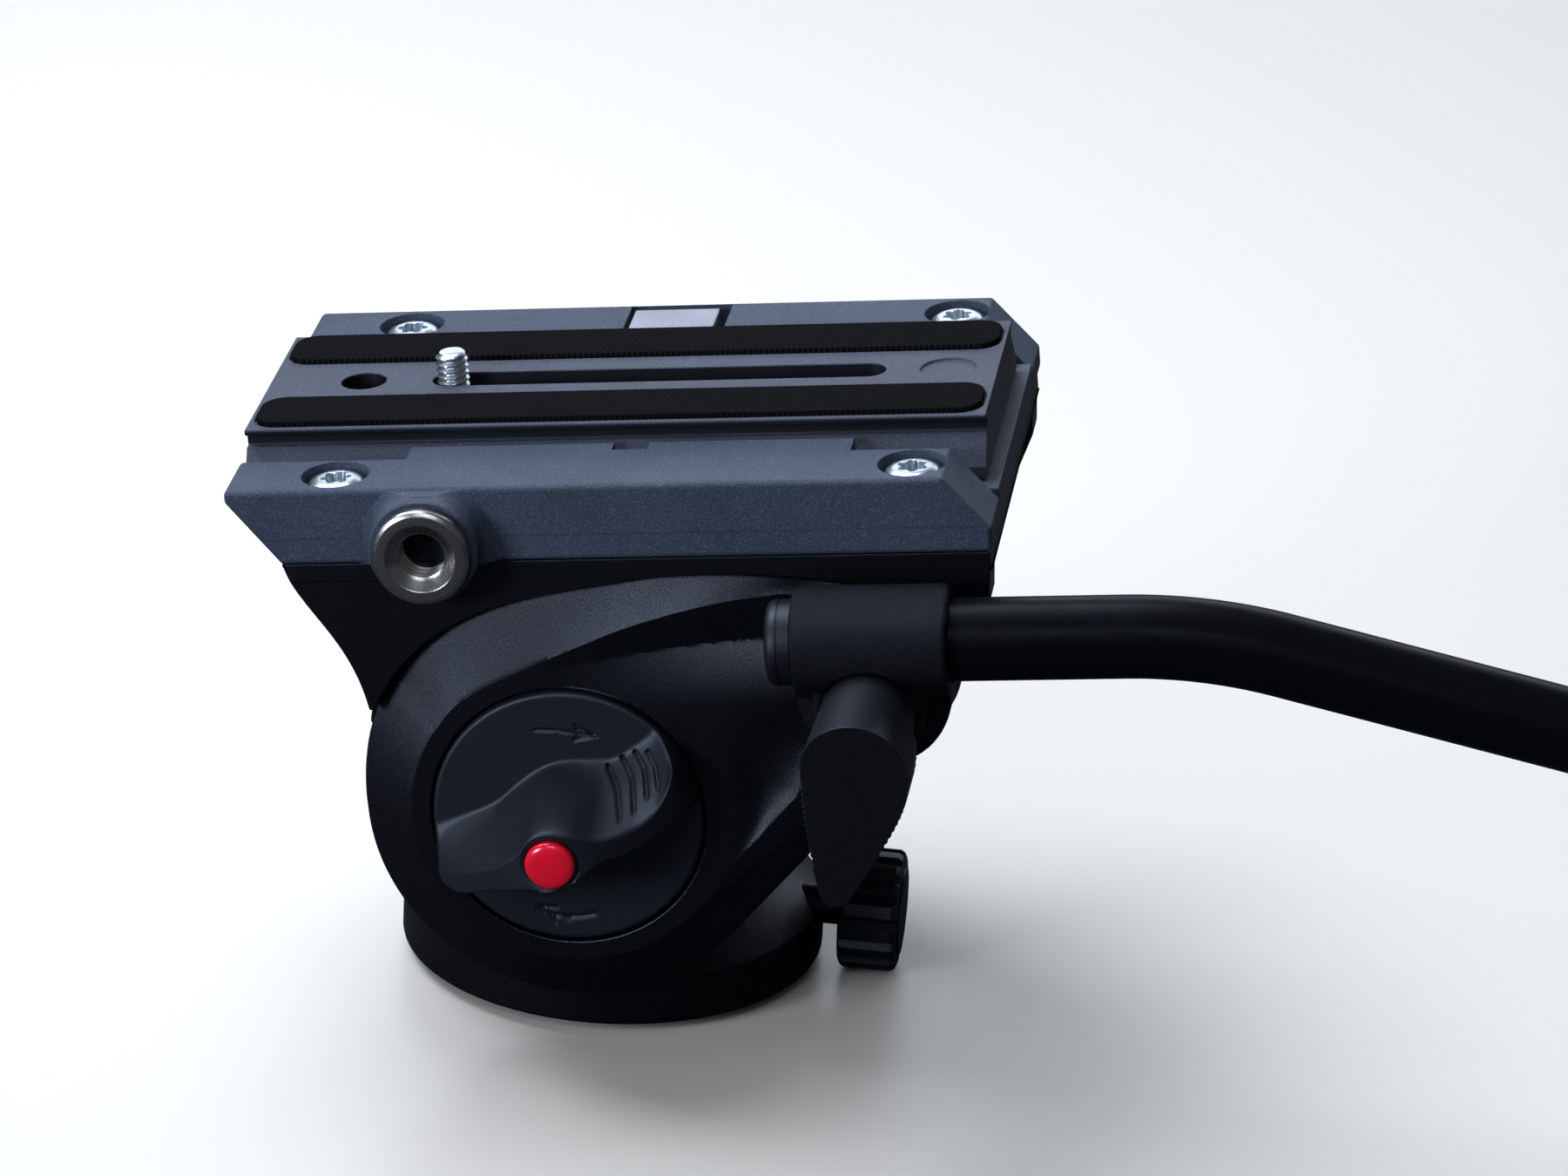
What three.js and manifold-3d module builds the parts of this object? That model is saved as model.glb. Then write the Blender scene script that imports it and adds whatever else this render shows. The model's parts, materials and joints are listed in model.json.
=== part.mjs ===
// A fluid video head: a flat foot, a turning pan housing, a tilting head with a sliding camera plate,
// and a pan bar held by a toothed clamp. Lengths are in millimetres, Z is up, the camera's front is -X
// and the tilt lock knob is on the -Y side.
import * as THREE from 'three';
import Module from 'manifold-3d';
import { mergeVertices } from 'three/addons/utils/BufferGeometryUtils.js';

// Clearances, the reach of the blocks that trim a piece, and how close two points are one
const gap = 0.3;
const overrun = 5;
const trimReach = 400;
const sameDistance = 0.0001;

// Widths of the head from the column outwards: each piece starts where the one inside it ends
const columnHalfWidth = 23;
const dragSpace = 14;
const wallThickness = 5;
const deckOverhang = 4.5;
const railOverhang = 1.2;
const frameInner = columnHalfWidth + dragSpace;
const frameHalfWidth = frameInner + wallThickness;
const deckHalfWidth = frameHalfWidth + deckOverhang;
const railHalfWidth = deckHalfWidth + railOverhang;

// Foot and tripod thread
const footRadius = 30;
const footThickness = 2.5;
const footHubRadius = 24;
const footHubHeight = 3.5;
const threadRadius = 4.2;
const bushWall = 2.3;
const bushRadius = threadRadius + bushWall;
const bushLength = 14;
const bushRecess = 0.6;

// Spindle, bearings and the brake of the pan axis
const drumRadius = 21;
const drumHeight = 10;
const spindleRadius = 12;
const washerThickness = 1.5;
const washerWidth = 6.7;
const nutWidth = 4;
const nutHeight = 3.5;
const panBearingWidth = 5.7;
const panBearingHeight = 4.5;
const bearingLip = 3;
const bearingLipClearance = 2;
const dragRingHeight = 4;
const shoeHalfWidth = 6;
const shoeHalfHeight = 4;
const shoeEndInset = 7.6;
const panBearingRadius = spindleRadius + gap + panBearingWidth;

// Pan housing
const skirtClearance = 0.8;
const skirtHeight = 10.7;
const skirtWall = 6;
const skirtEdge = 0.5;
const shoulderInset = 11.5;
const shoulderRise = 9;
const ceilingInset = 8.5;
const ceilingDrop = 4;
const columnHalfLength = 24;
const skirtRadius = frameHalfWidth + gap - skirtClearance;
const shoulderRadius = skirtRadius - shoulderInset;
const ceilingRadius = skirtRadius - skirtWall - ceilingInset;

// Levels of the base, upwards from the table
const skirtLow = footThickness;
const skirtHigh = skirtLow + skirtHeight;
const drumLow = footThickness + footHubHeight + gap;
const drumHigh = drumLow + drumHeight;
const washerLow = drumHigh + gap;
const ceiling = washerLow + washerThickness + gap;
const lowerBearingLow = ceiling + gap;
const lipLow = lowerBearingLow + panBearingHeight + gap;
const upperBearingLow = lipLow + bearingLip + gap;
const nutLow = upperBearingLow + panBearingHeight + gap;
const nutHigh = nutLow + nutHeight;
const cavityHigh = nutHigh + gap;
const spindleBore = bushRadius + gap;

// Pan lock knob, its axis along X
const panKnobHeight = 12.75;
const panKnobRadius = 12;
const panKnobLength = 11.5;
const panKnobStandoff = 4;
const panKnobFlutes = 16;
const panKnobFluteDepth = 0.8;
const panKnobChamfer = 1;
const panScrewRadius = 3;
const panBossWall = 1.2;
const panKnobDistance = skirtRadius + panKnobStandoff;

// Bubble level on the shoulder
const levelRadius = 6;
const levelHeight = 4;
const levelWall = 1.5;
const levelInset = 7.5;
const levelTurnDegrees = 45;
const levelRise = 7.8;
const levelTop = skirtHigh + levelRise;

// Tilt axle, bearings, drag and spring. The tilt axis lies along Y, over the nut of the pan axis
const tiltAxisForward = 2.8;
const restTiltDegrees = 7;
const axleRadius = 8;
const tiltBearingWall = 4.2;
const tiltBearingWidth = 6.5;
const tiltSeatFloor = 1.2;
const drumOuterRadius = 25.5;
const springRadius = 17;
const springWireShare = 0.38;
const springCurls = 3;
const springSteps = 8;
const springSides = 5;
const brakePadRadius = 3;
const brakePadThickness = 3;
const tiltBearingRadius = axleRadius + gap + tiltBearingWall;
const tiltAxisHeight = cavityHigh + tiltSeatFloor + gap + tiltBearingRadius;
const springPitch = (dragSpace - 4 * gap) / (springCurls + 2 * springWireShare);
const springWireRadius = springPitch * springWireShare;

// Tilt frame: a deck on two side walls. Its heights are over the tilt axis
const frameFront = 50;
const frameRear = 83;
const deckLow = 48;
const deckThickness = 3.7;
const deckRib = 3.3;
const wallClearance = 4.2;
const waistOut = 4.5;
const waistZ = 21.5;
const reliefDegrees = 4;
const reliefOut = 1.5;
const reliefDrop = 3.3;
const rearSlope = 0.7;
const rearDrop = 6.5;
const deckTop = deckLow + deckThickness;
const wallRadius = tiltAxisHeight - skirtHigh - wallClearance;
const waistX = -wallRadius - waistOut;
const reliefX = wallRadius + reliefOut;
const rearLowX = frameRear - rearSlope;
const rearLowZ = deckLow - rearDrop;

// Channel floor between the rails
const floorRise = 6.8;
const floorThickness = 4;
const floorHeight = deckTop + floorRise;

// Section of the camera plate, upwards from the channel floor
const plateFlangeEdge = 2.2;
const plateFlankDrop = 5.4;
const plateNeck = 2.4;
const plateDeck = 1.2;
const plateEdge = 0.5;
const plateNeckInset = 2;
const plateFlankTopInset = 0.7;
const plateCatch = 2;
const plateRailGap = 1.6;
const plateUnder = floorHeight + 2 * gap;
const plateFlankLow = plateUnder + plateFlangeEdge;
const plateFlankTop = plateFlankLow + plateFlankDrop;
const plateDeckLow = plateFlankTop + plateNeck;
const plateTop = plateDeckLow + plateDeck;
const flankRun = plateCatch + plateRailGap + plateFlankTopInset;

// Rail screws, each in a round recess
const screwFrontInset = 19.85;
const screwRearInset = 6.15;
const screwHeadRadius = 5.35;
const screwHeadHeight = 3.2;
const screwRecessClearance = 1;
const screwSink = 0.6;
const screwShankRadius = 2.4;
const screwStarRadius = 2.9;
const screwStarDepth = 2;
const screwStarShare = 0.72;
const screwStarLobes = 6;
const screwRecessRadius = screwHeadRadius + screwRecessClearance;

// Rails. Their width is a recess with a wall on each side, and their lips reach over the plate's flanks
const railWallOuter = 1.85;
const railWallInner = 0.55;
const railNoseReach = 9.6;
const railFrontNose = 2.4;
const railRearSlope = 8.7;
const railRearDrop = 10.2;
const railBevel = 1.2;
const lipReach = 6;
const lipHalfLength = 42;
const lipCentre = 14.5;
const lipThickness = 2.6;
const lipNotchHalfLength = 3.4;
const lipNotchDepth = 3.5;
const lipClearance = 0.49;
const railInner = railHalfWidth - railWallOuter - 2 * screwRecessRadius - railWallInner;
const railLow = deckTop + gap;
const lipLowZ = plateFlankLow + (plateFlankDrop * plateCatch) / flankRun + lipClearance;
const railTop = lipLowZ + lipThickness;
const railFront = frameFront + railNoseReach;
const railRear = frameRear + 2 * gap;
const railTopRear = railRear - railRearSlope;
const lipInner = railInner - lipReach;
const screwAcross = railHalfWidth - railWallOuter - screwRecessRadius;

// Accessory bush on the left rail, its axis along Y
const accessoryX = -21.6;
const accessoryDrop = 10.6;
const accessoryBossRadius = 10.3;
const accessoryBossReach = 5.8;
const accessoryFlangeInset = 1;
const accessoryBushFlange = 2.6;
const accessoryThreadRadius = 4.3;
const accessoryWall = 2.7;
const accessoryMouth = 0.9;
const accessoryDepth = 6.6;
const accessoryEdge = 0.8;
const accessoryZ = railTop - accessoryDrop;
const accessoryBushRadius = accessoryBossRadius - accessoryFlangeInset;
const accessoryBarrelRadius = accessoryThreadRadius + accessoryWall;

// Camera plate: its length, slot, holes and pads
const plateLength = 141;
const plateCentre = 10.6;
const slotFrontInset = 31.9;
const slotRearInset = 21.5;
const slotClearance = 0.4;
const slotDeckThickness = 5;
const pinHoleInset = 18.4;
const pinHoleRadius = 4.35;
const pinHoleDepth = 6;
const recessInset = 9.6;
const recessRadius = 5.35;
const recessDepth = 0.6;
const padMargin = 1.2;
const padSideMargin = 1.8;
const padSlotMargin = 6.4;
const padRise = 0.9;
const padSink = 0.8;
const padCornerShare = 0.34;
const plateFront = plateCentre - plateLength / 2;
const plateRear = plateCentre + plateLength / 2;
const plateHalfWidth = lipInner - plateRailGap;
const plateFlangeHalfWidth = lipInner + plateCatch;

// Camera screw, 1/4 inch, with its washer in the channel under the slot
const cameraScrewRadius = 3.1;
const cameraScrewRise = 5.5;
const cameraScrewInset = 4;
const cameraScrewHeadRadius = 6.5;
const cameraScrewHeadHeight = 3.5;
const cameraScrewChamfer = 0.7;
const cameraWasherRadius = 7;
const cameraWasherThickness = 0.8;
const channelClearance = 1;
const slotFront = plateFront + slotFrontInset;
const slotRear = plateRear - slotRearInset;
const slotHalfWidth = cameraScrewRadius + slotClearance;
const cameraScrewX = slotFront + cameraScrewInset;
const padWidth = plateHalfWidth - padSideMargin - padSlotMargin - slotHalfWidth;
const padOffset = plateHalfWidth - padSideMargin - padWidth / 2;

// Clamp jaw and plate lock lever, on the right rail
const jawX = 12.5;
const jawHalfLength = 8.5;
const notchFrontClearance = 0.7;
const notchRearClearance = 2.5;
const jawTopInset = 0.5;
const jawInset = 1.7;
const jawTravel = 0.8;
const jawDrop = 4.5;
const jawScrewDepth = 8;
const lockAxisDrop = 8.9;
const lockScrewRadius = 3;
const lockHubWall = 3;
const lockLeverReach = 68;
const lockLeverDropDegrees = 13.8;
const lockLeverEndHalfWidth = 10;
const lockLeverCorner = 3;
const lockLeverThickness = 5.5;
const lockLeverStandoff = 1.3;
const jawOuter = railHalfWidth - jawInset;
const jawLow = floorHeight - jawDrop;
const lockAxisZ = railTop - lockAxisDrop;
const lockHubRadius = lockScrewRadius + lockHubWall;

// Safety button on the right rail
const safetyX = -10;
const safetyDrop = 6.9;
const safetyRadius = 3.5;
const safetyLength = 11;
const safetyProud = 2.5;
const safetyZ = railTop - safetyDrop;

// Tilt lock knob
const knobRadius = 25.7;
const knobHeight = 22;
const knobEndHeight = 6.5;
const knobRimHeight = 1;
const knobFloor = 0.2;
const knobFlankWidth = 2;
const knobScrewRadius = 4;
const knobScrewLength = 16;
const knobCapRadius = 4.7;
const knobCapRise = 1.2;
const knobCapSeat = 1.2;
const knobColumns = 32;
const knobHollowShare = 1.25;
const knobSlopeShares = [0.2, 0.45, 0.7, 0.9];

// The wing's ridge, its lower edge and the foot of its upper side: points across and up, as shares of the
// knob's radius
const ridgeShares = [
  [-1, -0.34], [-0.65, -0.155], [-0.377, -0.015], [-0.233, 0.1], [-0.13, 0.226], [0, 0.268],
  [0.13, 0.253], [0.34, 0.171], [0.5, 0.167], [0.665, 0.206], [0.763, 0.28], [0.833, 0.397], [0.9, 0.6],
  [1, 0.7],
];
const lowerShares = [
  [-1, -0.35], [-0.82, -0.39], [-0.66, -0.35], [-0.52, -0.28], [-0.31, -0.24], [0, -0.226],
  [0.18, -0.152], [0.36, -0.03], [0.51, -0.012], [0.66, 0.031], [0.84, 0.117], [1, 0.21],
];
const wingFootShares = [
  [-1, -0.02], [-0.73, 0.055], [-0.486, 0.163], [-0.35, 0.28], [-0.218, 0.374], [-0.035, 0.447],
  [0.2, 0.463], [0.377, 0.479], [0.56, 0.59], [0.68, 0.69], [0.8, 0.85], [1, 1.1],
];

// Side covers: a disc round the tilt axis, drawn out to the boss of the pan bar clamp
const knobClearance = 0.6;
const knobPocketDepth = 4.4;
const capClearance = 0.5;
const capProud = 0.4;
const collarWidth = 3.7;
const coverBevelWidth = 9.5;
const coverDepth = 5.7;
const coverCrestX = 22.3;
const coverCrestDrop = 0.7;
const coverRimWidth = 3.2;
const coverLeaveDegrees = 152;
const collarLeaveDegrees = 99;
const coverPullShare = 0.36;
const coverCrestShare = 0.05;
const valleyDepth = 2.4;
const valleySinkDegrees = 15;
const valleyWaistShare = 0.45;
const upperValleyWidth = 8.5;
const upperValleyDegrees = 4;
const lowerValleyX = 24;
const lowerValleyZ = -20;
const lowerValleyLength = 36;
const lowerValleyWidth = 7;
const lowerValleyDegrees = 50;
const knobPocketRadius = knobRadius + knobClearance;
const capRadius = knobPocketRadius - capClearance;
const collarRadius = knobPocketRadius + collarWidth;
const coverRadius = collarRadius + coverBevelWidth;
const coverCrestZ = deckLow - coverCrestDrop;
const coverFar = frameHalfWidth + gap + coverDepth;

// Clamp boss and rosettes
const bossX = 61;
const bossDrop = 19.5;
const bossRadius = 15;
const bossSink = 1.9;
const rosetteEdge = 1;
const rosetteInner = 4.8;
const rosetteBase = 1.5;
const rosetteTooth = 0.9;
const rosetteTeeth = 24;
const bossZ = coverCrestZ - bossDrop;
const bossFace = coverFar - bossSink;
const clampHubRadius = bossRadius - 2 * gap;
const rosetteRadius = clampHubRadius - rosetteEdge;
const clampFace = bossFace + gap + rosetteTooth;
const reliefZ = bossZ - bossRadius - reliefDrop;

// Pan bar, its plug, grip and end cap
const barRadius = 7.7;
const barWall = 1.3;
const barStraight = 60.6;
const barBendRadius = 100;
const barBendDegrees = 17;
const barTail = 225;
const plugLength = 4.7;
const plugGroove = 0.6;
const plugSpigot = 8;
const gripLength = 105;
const gripWall = 3.5;
const gripEdge = 2;
const gripCapLength = 5;
const gripInset = 4;
const plugRadius = barRadius + gap;
const gripRadius = barRadius + gap + gripWall;

// Pan bar clamp, its bolt and its lever
const clampHubDepth = 10;
const clampNeckWall = 1.1;
const clampWall = 1.4;
const clampTubeLength = 29;
const clampTubeFront = 13.6;
const boltRadius = 3;
const boltHeadRadius = 6.5;
const boltHeadHeight = 3;
const leverOut = 8.2;
const leverHubRadius = 8.7;
const leverHubFlare = 0.9;
const leverLength = 30;
const leverWingStart = 11.5;
const leverReach = 29.5;
const leverTipRadius = 3;
const leverTipShift = 6;
const leverFaceDegrees = 15;
const leverBoltDepth = 22;
const leverGrooves = 7;
const leverGrooveRadius = 0.8;
const clampNeckRadius = leverHubRadius + 2 * gap + clampNeckWall;
const clampTubeRadius = barRadius + clampWall;
const barAxisOut = coverFar + 2 * gap - clampFace + clampTubeRadius;
const barAxisUp = boltRadius + 2 * gap + barRadius;
const leverStart = barAxisOut + leverOut;
const leverHubEndRadius = leverHubRadius + leverHubFlare;

// Facets
const sides = 20;
const fineSides = 32;
const coarseSides = 12;
const leverOutlinePoints = 36;
const coverBaseSteps = [16, 5, 13, 8, 7, 4];
const coverFrontSteps = [16, 12, 6, 8, 7, 4];

const wasm = await Module();
wasm.setup();

const finish = (color, roughness, metalness) => (
  new THREE.MeshStandardMaterial({ color, roughness, metalness })
);
const materials = {
  blackCasting: finish(0x1b1c1f, 0.6, 0.3),
  blackPlastic: finish(0x17181a, 0.55, 0),
  railPaint: finish(0x3c4552, 0.6, 0.3),
  platePaint: finish(0x4a515c, 0.6, 0.3),
  rubber: finish(0x1d1a1b, 0.9, 0),
  steel: finish(0xb9bdc2, 0.3, 1),
  brass: finish(0xb08d4a, 0.35, 1),
  redGloss: finish(0xb01422, 0.15, 0),
  barPaint: finish(0x0c0c0e, 0.25, 0.2),
  vial: finish(0xb7d64a, 0.1, 0),
};

// Solids

function toSolid(geometry) {
  geometry.deleteAttribute('normal');
  geometry.deleteAttribute('uv');
  const merged = mergeVertices(geometry, sameDistance);
  const index = Uint32Array.from(merged.index.array);
  const kept = [];
  for (let i = 0; i < index.length; i += 3) {
    const [a, b, c] = index.subarray(i, i + 3);
    if (a !== b && b !== c && c !== a) kept.push(a, b, c);
  }
  const build = (triangles) => new wasm.Manifold(new wasm.Mesh({
    numProp: 3,
    vertProperties: Float32Array.from(merged.attributes.position.array),
    triVerts: Uint32Array.from(triangles),
  }));
  const solid = build(kept);
  if (solid.volume() > 0) return solid;
  return build(kept.reverse());
}

function toGeometry(solid) {
  const mesh = solid.getMesh();
  const geometry = new THREE.BufferGeometry();
  geometry.setAttribute('position', new THREE.BufferAttribute(Float32Array.from(mesh.vertProperties), 3));
  geometry.setIndex(new THREE.BufferAttribute(Uint32Array.from(mesh.triVerts), 1));
  return geometry;
}

function part(name, solid, material) {
  const mesh = new THREE.Mesh(toGeometry(solid), material);
  mesh.name = name;
  return mesh;
}

const join = (first, ...others) => others.reduce((sum, solid) => sum.add(solid), first);
const cut = (first, ...others) => others.reduce((rest, solid) => rest.subtract(solid), first);

// A revolved solid about Z, from a closed profile of [radius, height] pairs
function turned(profile, count = sides) {
  const points = [...profile, profile[0]].map(([r, z]) => new THREE.Vector2(r, z));
  const geometry = new THREE.LatheGeometry(points, count);
  geometry.rotateX(Math.PI / 2);
  return toSolid(geometry);
}

const cylinder = (radius, low, high, count = sides) => (
  turned([[0, low], [radius, low], [radius, high], [0, high]], count)
);
const ring = (inner, outer, low, high, count = sides) => (
  turned([[inner, low], [outer, low], [outer, high], [inner, high]], count)
);

// Turns a solid made along Z so that Z becomes the named direction
const alongX = (solid) => solid.rotate([0, 90, 0]);
const alongY = (solid) => solid.rotate([-90, 0, 0]);
const alongMinusY = (solid) => solid.rotate([90, 0, 0]);

function box(xLow, xHigh, yLow, yHigh, zLow, zHigh) {
  const geometry = new THREE.BoxGeometry(xHigh - xLow, yHigh - yLow, zHigh - zLow);
  geometry.translate((xLow + xHigh) / 2, (yLow + yHigh) / 2, (zLow + zHigh) / 2);
  return toSolid(geometry);
}

// An outline of [x, z] points given a depth along -Y from y = 0, with an optional bevel on its far face
function slab(points, depth, bevel = 0) {
  const shape = new THREE.Shape(points.map(([x, z]) => new THREE.Vector2(x, z)));
  if (bevel === 0) {
    const plain = new THREE.ExtrudeGeometry(shape, { depth, bevelEnabled: false });
    plain.rotateX(Math.PI / 2);
    return toSolid(plain);
  }
  const base = new THREE.ExtrudeGeometry(shape, {
    depth: depth - bevel, bevelEnabled: true, bevelSegments: 1, bevelThickness: bevel, bevelSize: bevel,
    bevelOffset: -bevel,
  });
  base.rotateX(Math.PI / 2);
  const grown = toSolid(base);
  const near = new THREE.ExtrudeGeometry(shape, { depth: depth / 2, bevelEnabled: false });
  near.rotateX(Math.PI / 2);
  const clipped = grown.intersect(box(-trimReach, trimReach, -depth, 0, -trimReach, trimReach));
  return join(toSolid(near), clipped);
}

// A section of [y, z] points drawn out along X
function bar(points, xLow, xHigh) {
  const shape = new THREE.Shape(points.map(([y, z]) => new THREE.Vector2(y, z)));
  const geometry = new THREE.ExtrudeGeometry(shape, { depth: xHigh - xLow, bevelEnabled: false });
  geometry.applyMatrix4(new THREE.Matrix4().makeBasis(
    new THREE.Vector3(0, 1, 0), new THREE.Vector3(0, 0, 1), new THREE.Vector3(1, 0, 0),
  ));
  geometry.translate(xLow, 0, 0);
  return toSolid(geometry);
}

// Rings of matching points, skinned one after the other and closed at both ends
function loft(rings) {
  const count = rings[0].length;
  const positions = rings.flat().flatMap((point) => [point.x, point.y, point.z]);
  const index = [];
  for (let r = 0; r + 1 < rings.length; r += 1) {
    for (let i = 0; i < count; i += 1) {
      const j = (i + 1) % count;
      const low = r * count;
      const high = low + count;
      index.push(low + i, low + j, high + j, low + i, high + j, high + i);
    }
  }
  const flat = (points) => THREE.ShapeUtils.triangulateShape(points, []);
  const plane = (points) => {
    const centre = points.reduce((sum, p) => sum.add(p), new THREE.Vector3()).divideScalar(points.length);
    const normal = new THREE.Vector3();
    points.forEach((p, i) => {
      const a = p.clone().sub(centre);
      const b = points[(i + 1) % points.length].clone().sub(centre);
      normal.add(a.cross(b));
    });
    const across = points[0].clone().sub(centre).normalize();
    const up = normal.normalize().clone().cross(across);
    return points.map((p) => p.clone().sub(centre)).map((p) => new THREE.Vector2(p.dot(across), p.dot(up)));
  };
  const last = (rings.length - 1) * count;
  for (const [a, b, c] of flat(plane(rings[0]))) index.push(a, c, b);
  for (const [a, b, c] of flat(plane(rings[rings.length - 1]))) index.push(last + a, last + b, last + c);
  const geometry = new THREE.BufferGeometry();
  geometry.setAttribute('position', new THREE.Float32BufferAttribute(positions, 3));
  geometry.setIndex(index);
  return toSolid(geometry);
}

const circle = (radius, count) => Array.from({ length: count }, (_, i) => {
  const angle = (2 * Math.PI * i) / count;
  return [radius * Math.cos(angle), radius * Math.sin(angle)];
});

const mirrorY = (solid) => solid.mirror([0, 1, 0]);

function makeFoot() {
  const body = turned([
    [spindleBore, 0], [footRadius, 0], [footRadius, footThickness], [footHubRadius, footThickness],
    [footHubRadius, footThickness + footHubHeight], [spindleBore, footThickness + footHubHeight],
  ], fineSides);
  const bush = ring(threadRadius, bushRadius, bushRecess, bushRecess + bushLength);
  const spindle = turned([
    [spindleBore, drumLow], [drumRadius, drumLow], [drumRadius, drumHigh], [spindleRadius, drumHigh],
    [spindleRadius, nutHigh], [spindleBore, nutHigh],
  ]);
  const nut = cut(
    cylinder(spindleRadius + nutWidth, nutLow, nutHigh, 6),
    cylinder(spindleRadius + gap, nutLow - overrun, nutHigh + overrun),
  );
  return [
    part('base_foot', body, materials.blackCasting),
    part('thread_bush', bush, materials.steel),
    part('pan_spindle', spindle, materials.steel),
    part('spindle_nut', nut, materials.steel),
  ];
}

// Outline of the housing's column, as [x, z] points: straight sides with a round top about the tilt axis
function columnOutline() {
  const front = -tiltAxisForward - columnHalfLength;
  const rear = -tiltAxisForward + columnHalfLength;
  const points = [[rear, skirtHigh], [rear, tiltAxisHeight]];
  const steps = sides / 2;
  for (let i = 1; i < steps; i += 1) {
    const angle = (Math.PI * i) / steps;
    points.push([
      -tiltAxisForward + columnHalfLength * Math.cos(angle),
      tiltAxisHeight + columnHalfLength * Math.sin(angle),
    ]);
  }
  points.push([front, tiltAxisHeight], [front, skirtHigh]);
  return points;
}

function makeHousing() {
  const shell = turned([
    [0, skirtLow], [skirtRadius, skirtLow], [skirtRadius, skirtHigh - skirtEdge],
    [skirtRadius - skirtEdge, skirtHigh], [shoulderRadius, skirtHigh + shoulderRise],
    [0, skirtHigh + shoulderRise],
  ], fineSides);
  const column = slab(columnOutline(), 2 * columnHalfWidth).translate([0, columnHalfWidth, 0]);
  const lockBoss = alongX(cylinder(panScrewRadius + gap + panBossWall, skirtRadius - skirtWall,
    panKnobDistance - gap, coarseSides)).translate([0, 0, panKnobHeight]);
  const turn = THREE.MathUtils.degToRad(levelTurnDegrees);
  const levelDistance = skirtRadius - levelInset;
  const levelPlace = [levelDistance * Math.cos(turn), levelDistance * Math.sin(turn), 0];
  const levelBoss = cylinder(levelRadius + gap + levelWall, skirtHigh - skirtEdge, levelTop, coarseSides)
    .translate(levelPlace);
  const lipRadius = spindleRadius + bearingLipClearance;
  const cavity = turned([
    [0, skirtLow - overrun], [skirtRadius - skirtWall, skirtLow - overrun],
    [skirtRadius - skirtWall, ceiling - ceilingDrop - gap], [ceilingRadius, ceiling],
    [panBearingRadius + gap, ceiling], [panBearingRadius + gap, lipLow], [lipRadius, lipLow],
    [lipRadius, lipLow + bearingLip], [panBearingRadius + gap, lipLow + bearingLip],
    [panBearingRadius + gap, cavityHigh], [0, cavityHigh],
  ]);
  const boreEnd = columnHalfWidth + overrun;
  const bore = alongY(cylinder(axleRadius + 2 * gap, -boreEnd, boreEnd));
  const seatLow = columnHalfWidth - tiltBearingWidth - gap;
  const seat = alongY(cylinder(tiltBearingRadius + gap, seatLow, boreEnd));
  const onAxis = (solid) => solid.translate([-tiltAxisForward, 0, tiltAxisHeight]);
  const screwHole = alongX(cylinder(panScrewRadius + gap, drumRadius, panKnobDistance + overrun,
    coarseSides)).translate([0, 0, panKnobHeight]);
  const levelPocket = cylinder(levelRadius + gap, levelTop - levelHeight, levelTop + overrun, coarseSides)
    .translate(levelPlace);
  const housing = cut(
    join(shell, column, lockBoss, levelBoss), cavity, onAxis(bore), onAxis(seat), onAxis(mirrorY(seat)),
    screwHole, levelPocket,
  );
  const level = cylinder(levelRadius, levelTop - levelHeight + gap, levelTop, coarseSides)
    .translate(levelPlace);
  const bearing = (low) => ring(spindleRadius + gap, panBearingRadius, low, low + panBearingHeight);
  const washer = ring(spindleRadius + gap, spindleRadius + gap + washerWidth, washerLow,
    washerLow + washerThickness);
  const dragLow = footThickness + 2 * gap;
  const dragRing = ring(footHubRadius + gap, skirtRadius - skirtWall - gap, dragLow,
    dragLow + dragRingHeight);
  const shoeStart = drumRadius + gap;
  const shoe = cut(
    box(shoeStart - overrun, skirtRadius - skirtWall - shoeEndInset, -shoeHalfWidth, shoeHalfWidth,
      panKnobHeight - shoeHalfHeight, panKnobHeight + shoeHalfHeight),
    cylinder(shoeStart, 0, tiltAxisHeight),
  );
  const tiltBearing = alongY(ring(axleRadius + gap, tiltBearingRadius, columnHalfWidth - tiltBearingWidth,
    columnHalfWidth));
  const drag = alongMinusY(ring(axleRadius + 2 * gap, drumOuterRadius, columnHalfWidth + gap,
    frameInner - 2 * gap));
  return [
    part('pan_housing', housing, materials.blackCasting),
    part('bubble_level', level, materials.vial),
    part('lower_pan_bearing', bearing(lowerBearingLow), materials.steel),
    part('upper_pan_bearing', bearing(upperBearingLow), materials.steel),
    part('thrust_washer', washer, materials.brass),
    part('pan_drag_ring', dragRing, materials.blackPlastic),
    part('pan_brake_shoe', shoe, materials.brass),
    part('left_tilt_bearing', onAxis(mirrorY(tiltBearing)), materials.steel),
    part('right_tilt_bearing', onAxis(tiltBearing), materials.steel),
    part('tilt_drag_drum', onAxis(drag), materials.blackPlastic),
    part('counterbalance_spring', onAxis(makeSpring()), materials.steel),
  ];
}

// The spring's wire follows a helix about the tilt axis. Its least gap to itself is measured and printed
function makeSpring() {
  const start = columnHalfWidth + 2 * gap + springWireRadius;
  const count = springCurls * springSteps;
  const centres = [];
  const rings = [];
  for (let i = 0; i <= count; i += 1) {
    const angle = (2 * Math.PI * i) / springSteps;
    const out = new THREE.Vector3(Math.cos(angle), 0, Math.sin(angle));
    const centre = out.clone().multiplyScalar(springRadius);
    centre.y = start + (springPitch * i) / springSteps;
    centres.push(centre);
    rings.push(circle(springWireRadius, springSides).map(([a, b]) => (
      centre.clone().addScaledVector(out, a).add(new THREE.Vector3(0, b, 0))
    )));
  }
  let least = Infinity;
  centres.forEach((a, i) => {
    centres.slice(i + springSteps / 2).forEach((b) => {
      least = Math.min(least, a.distanceTo(b) - 2 * springWireRadius);
    });
  });
  console.log(`counterbalance spring: least gap to itself ${least.toFixed(2)} mm`);
  return loft(rings);
}

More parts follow.
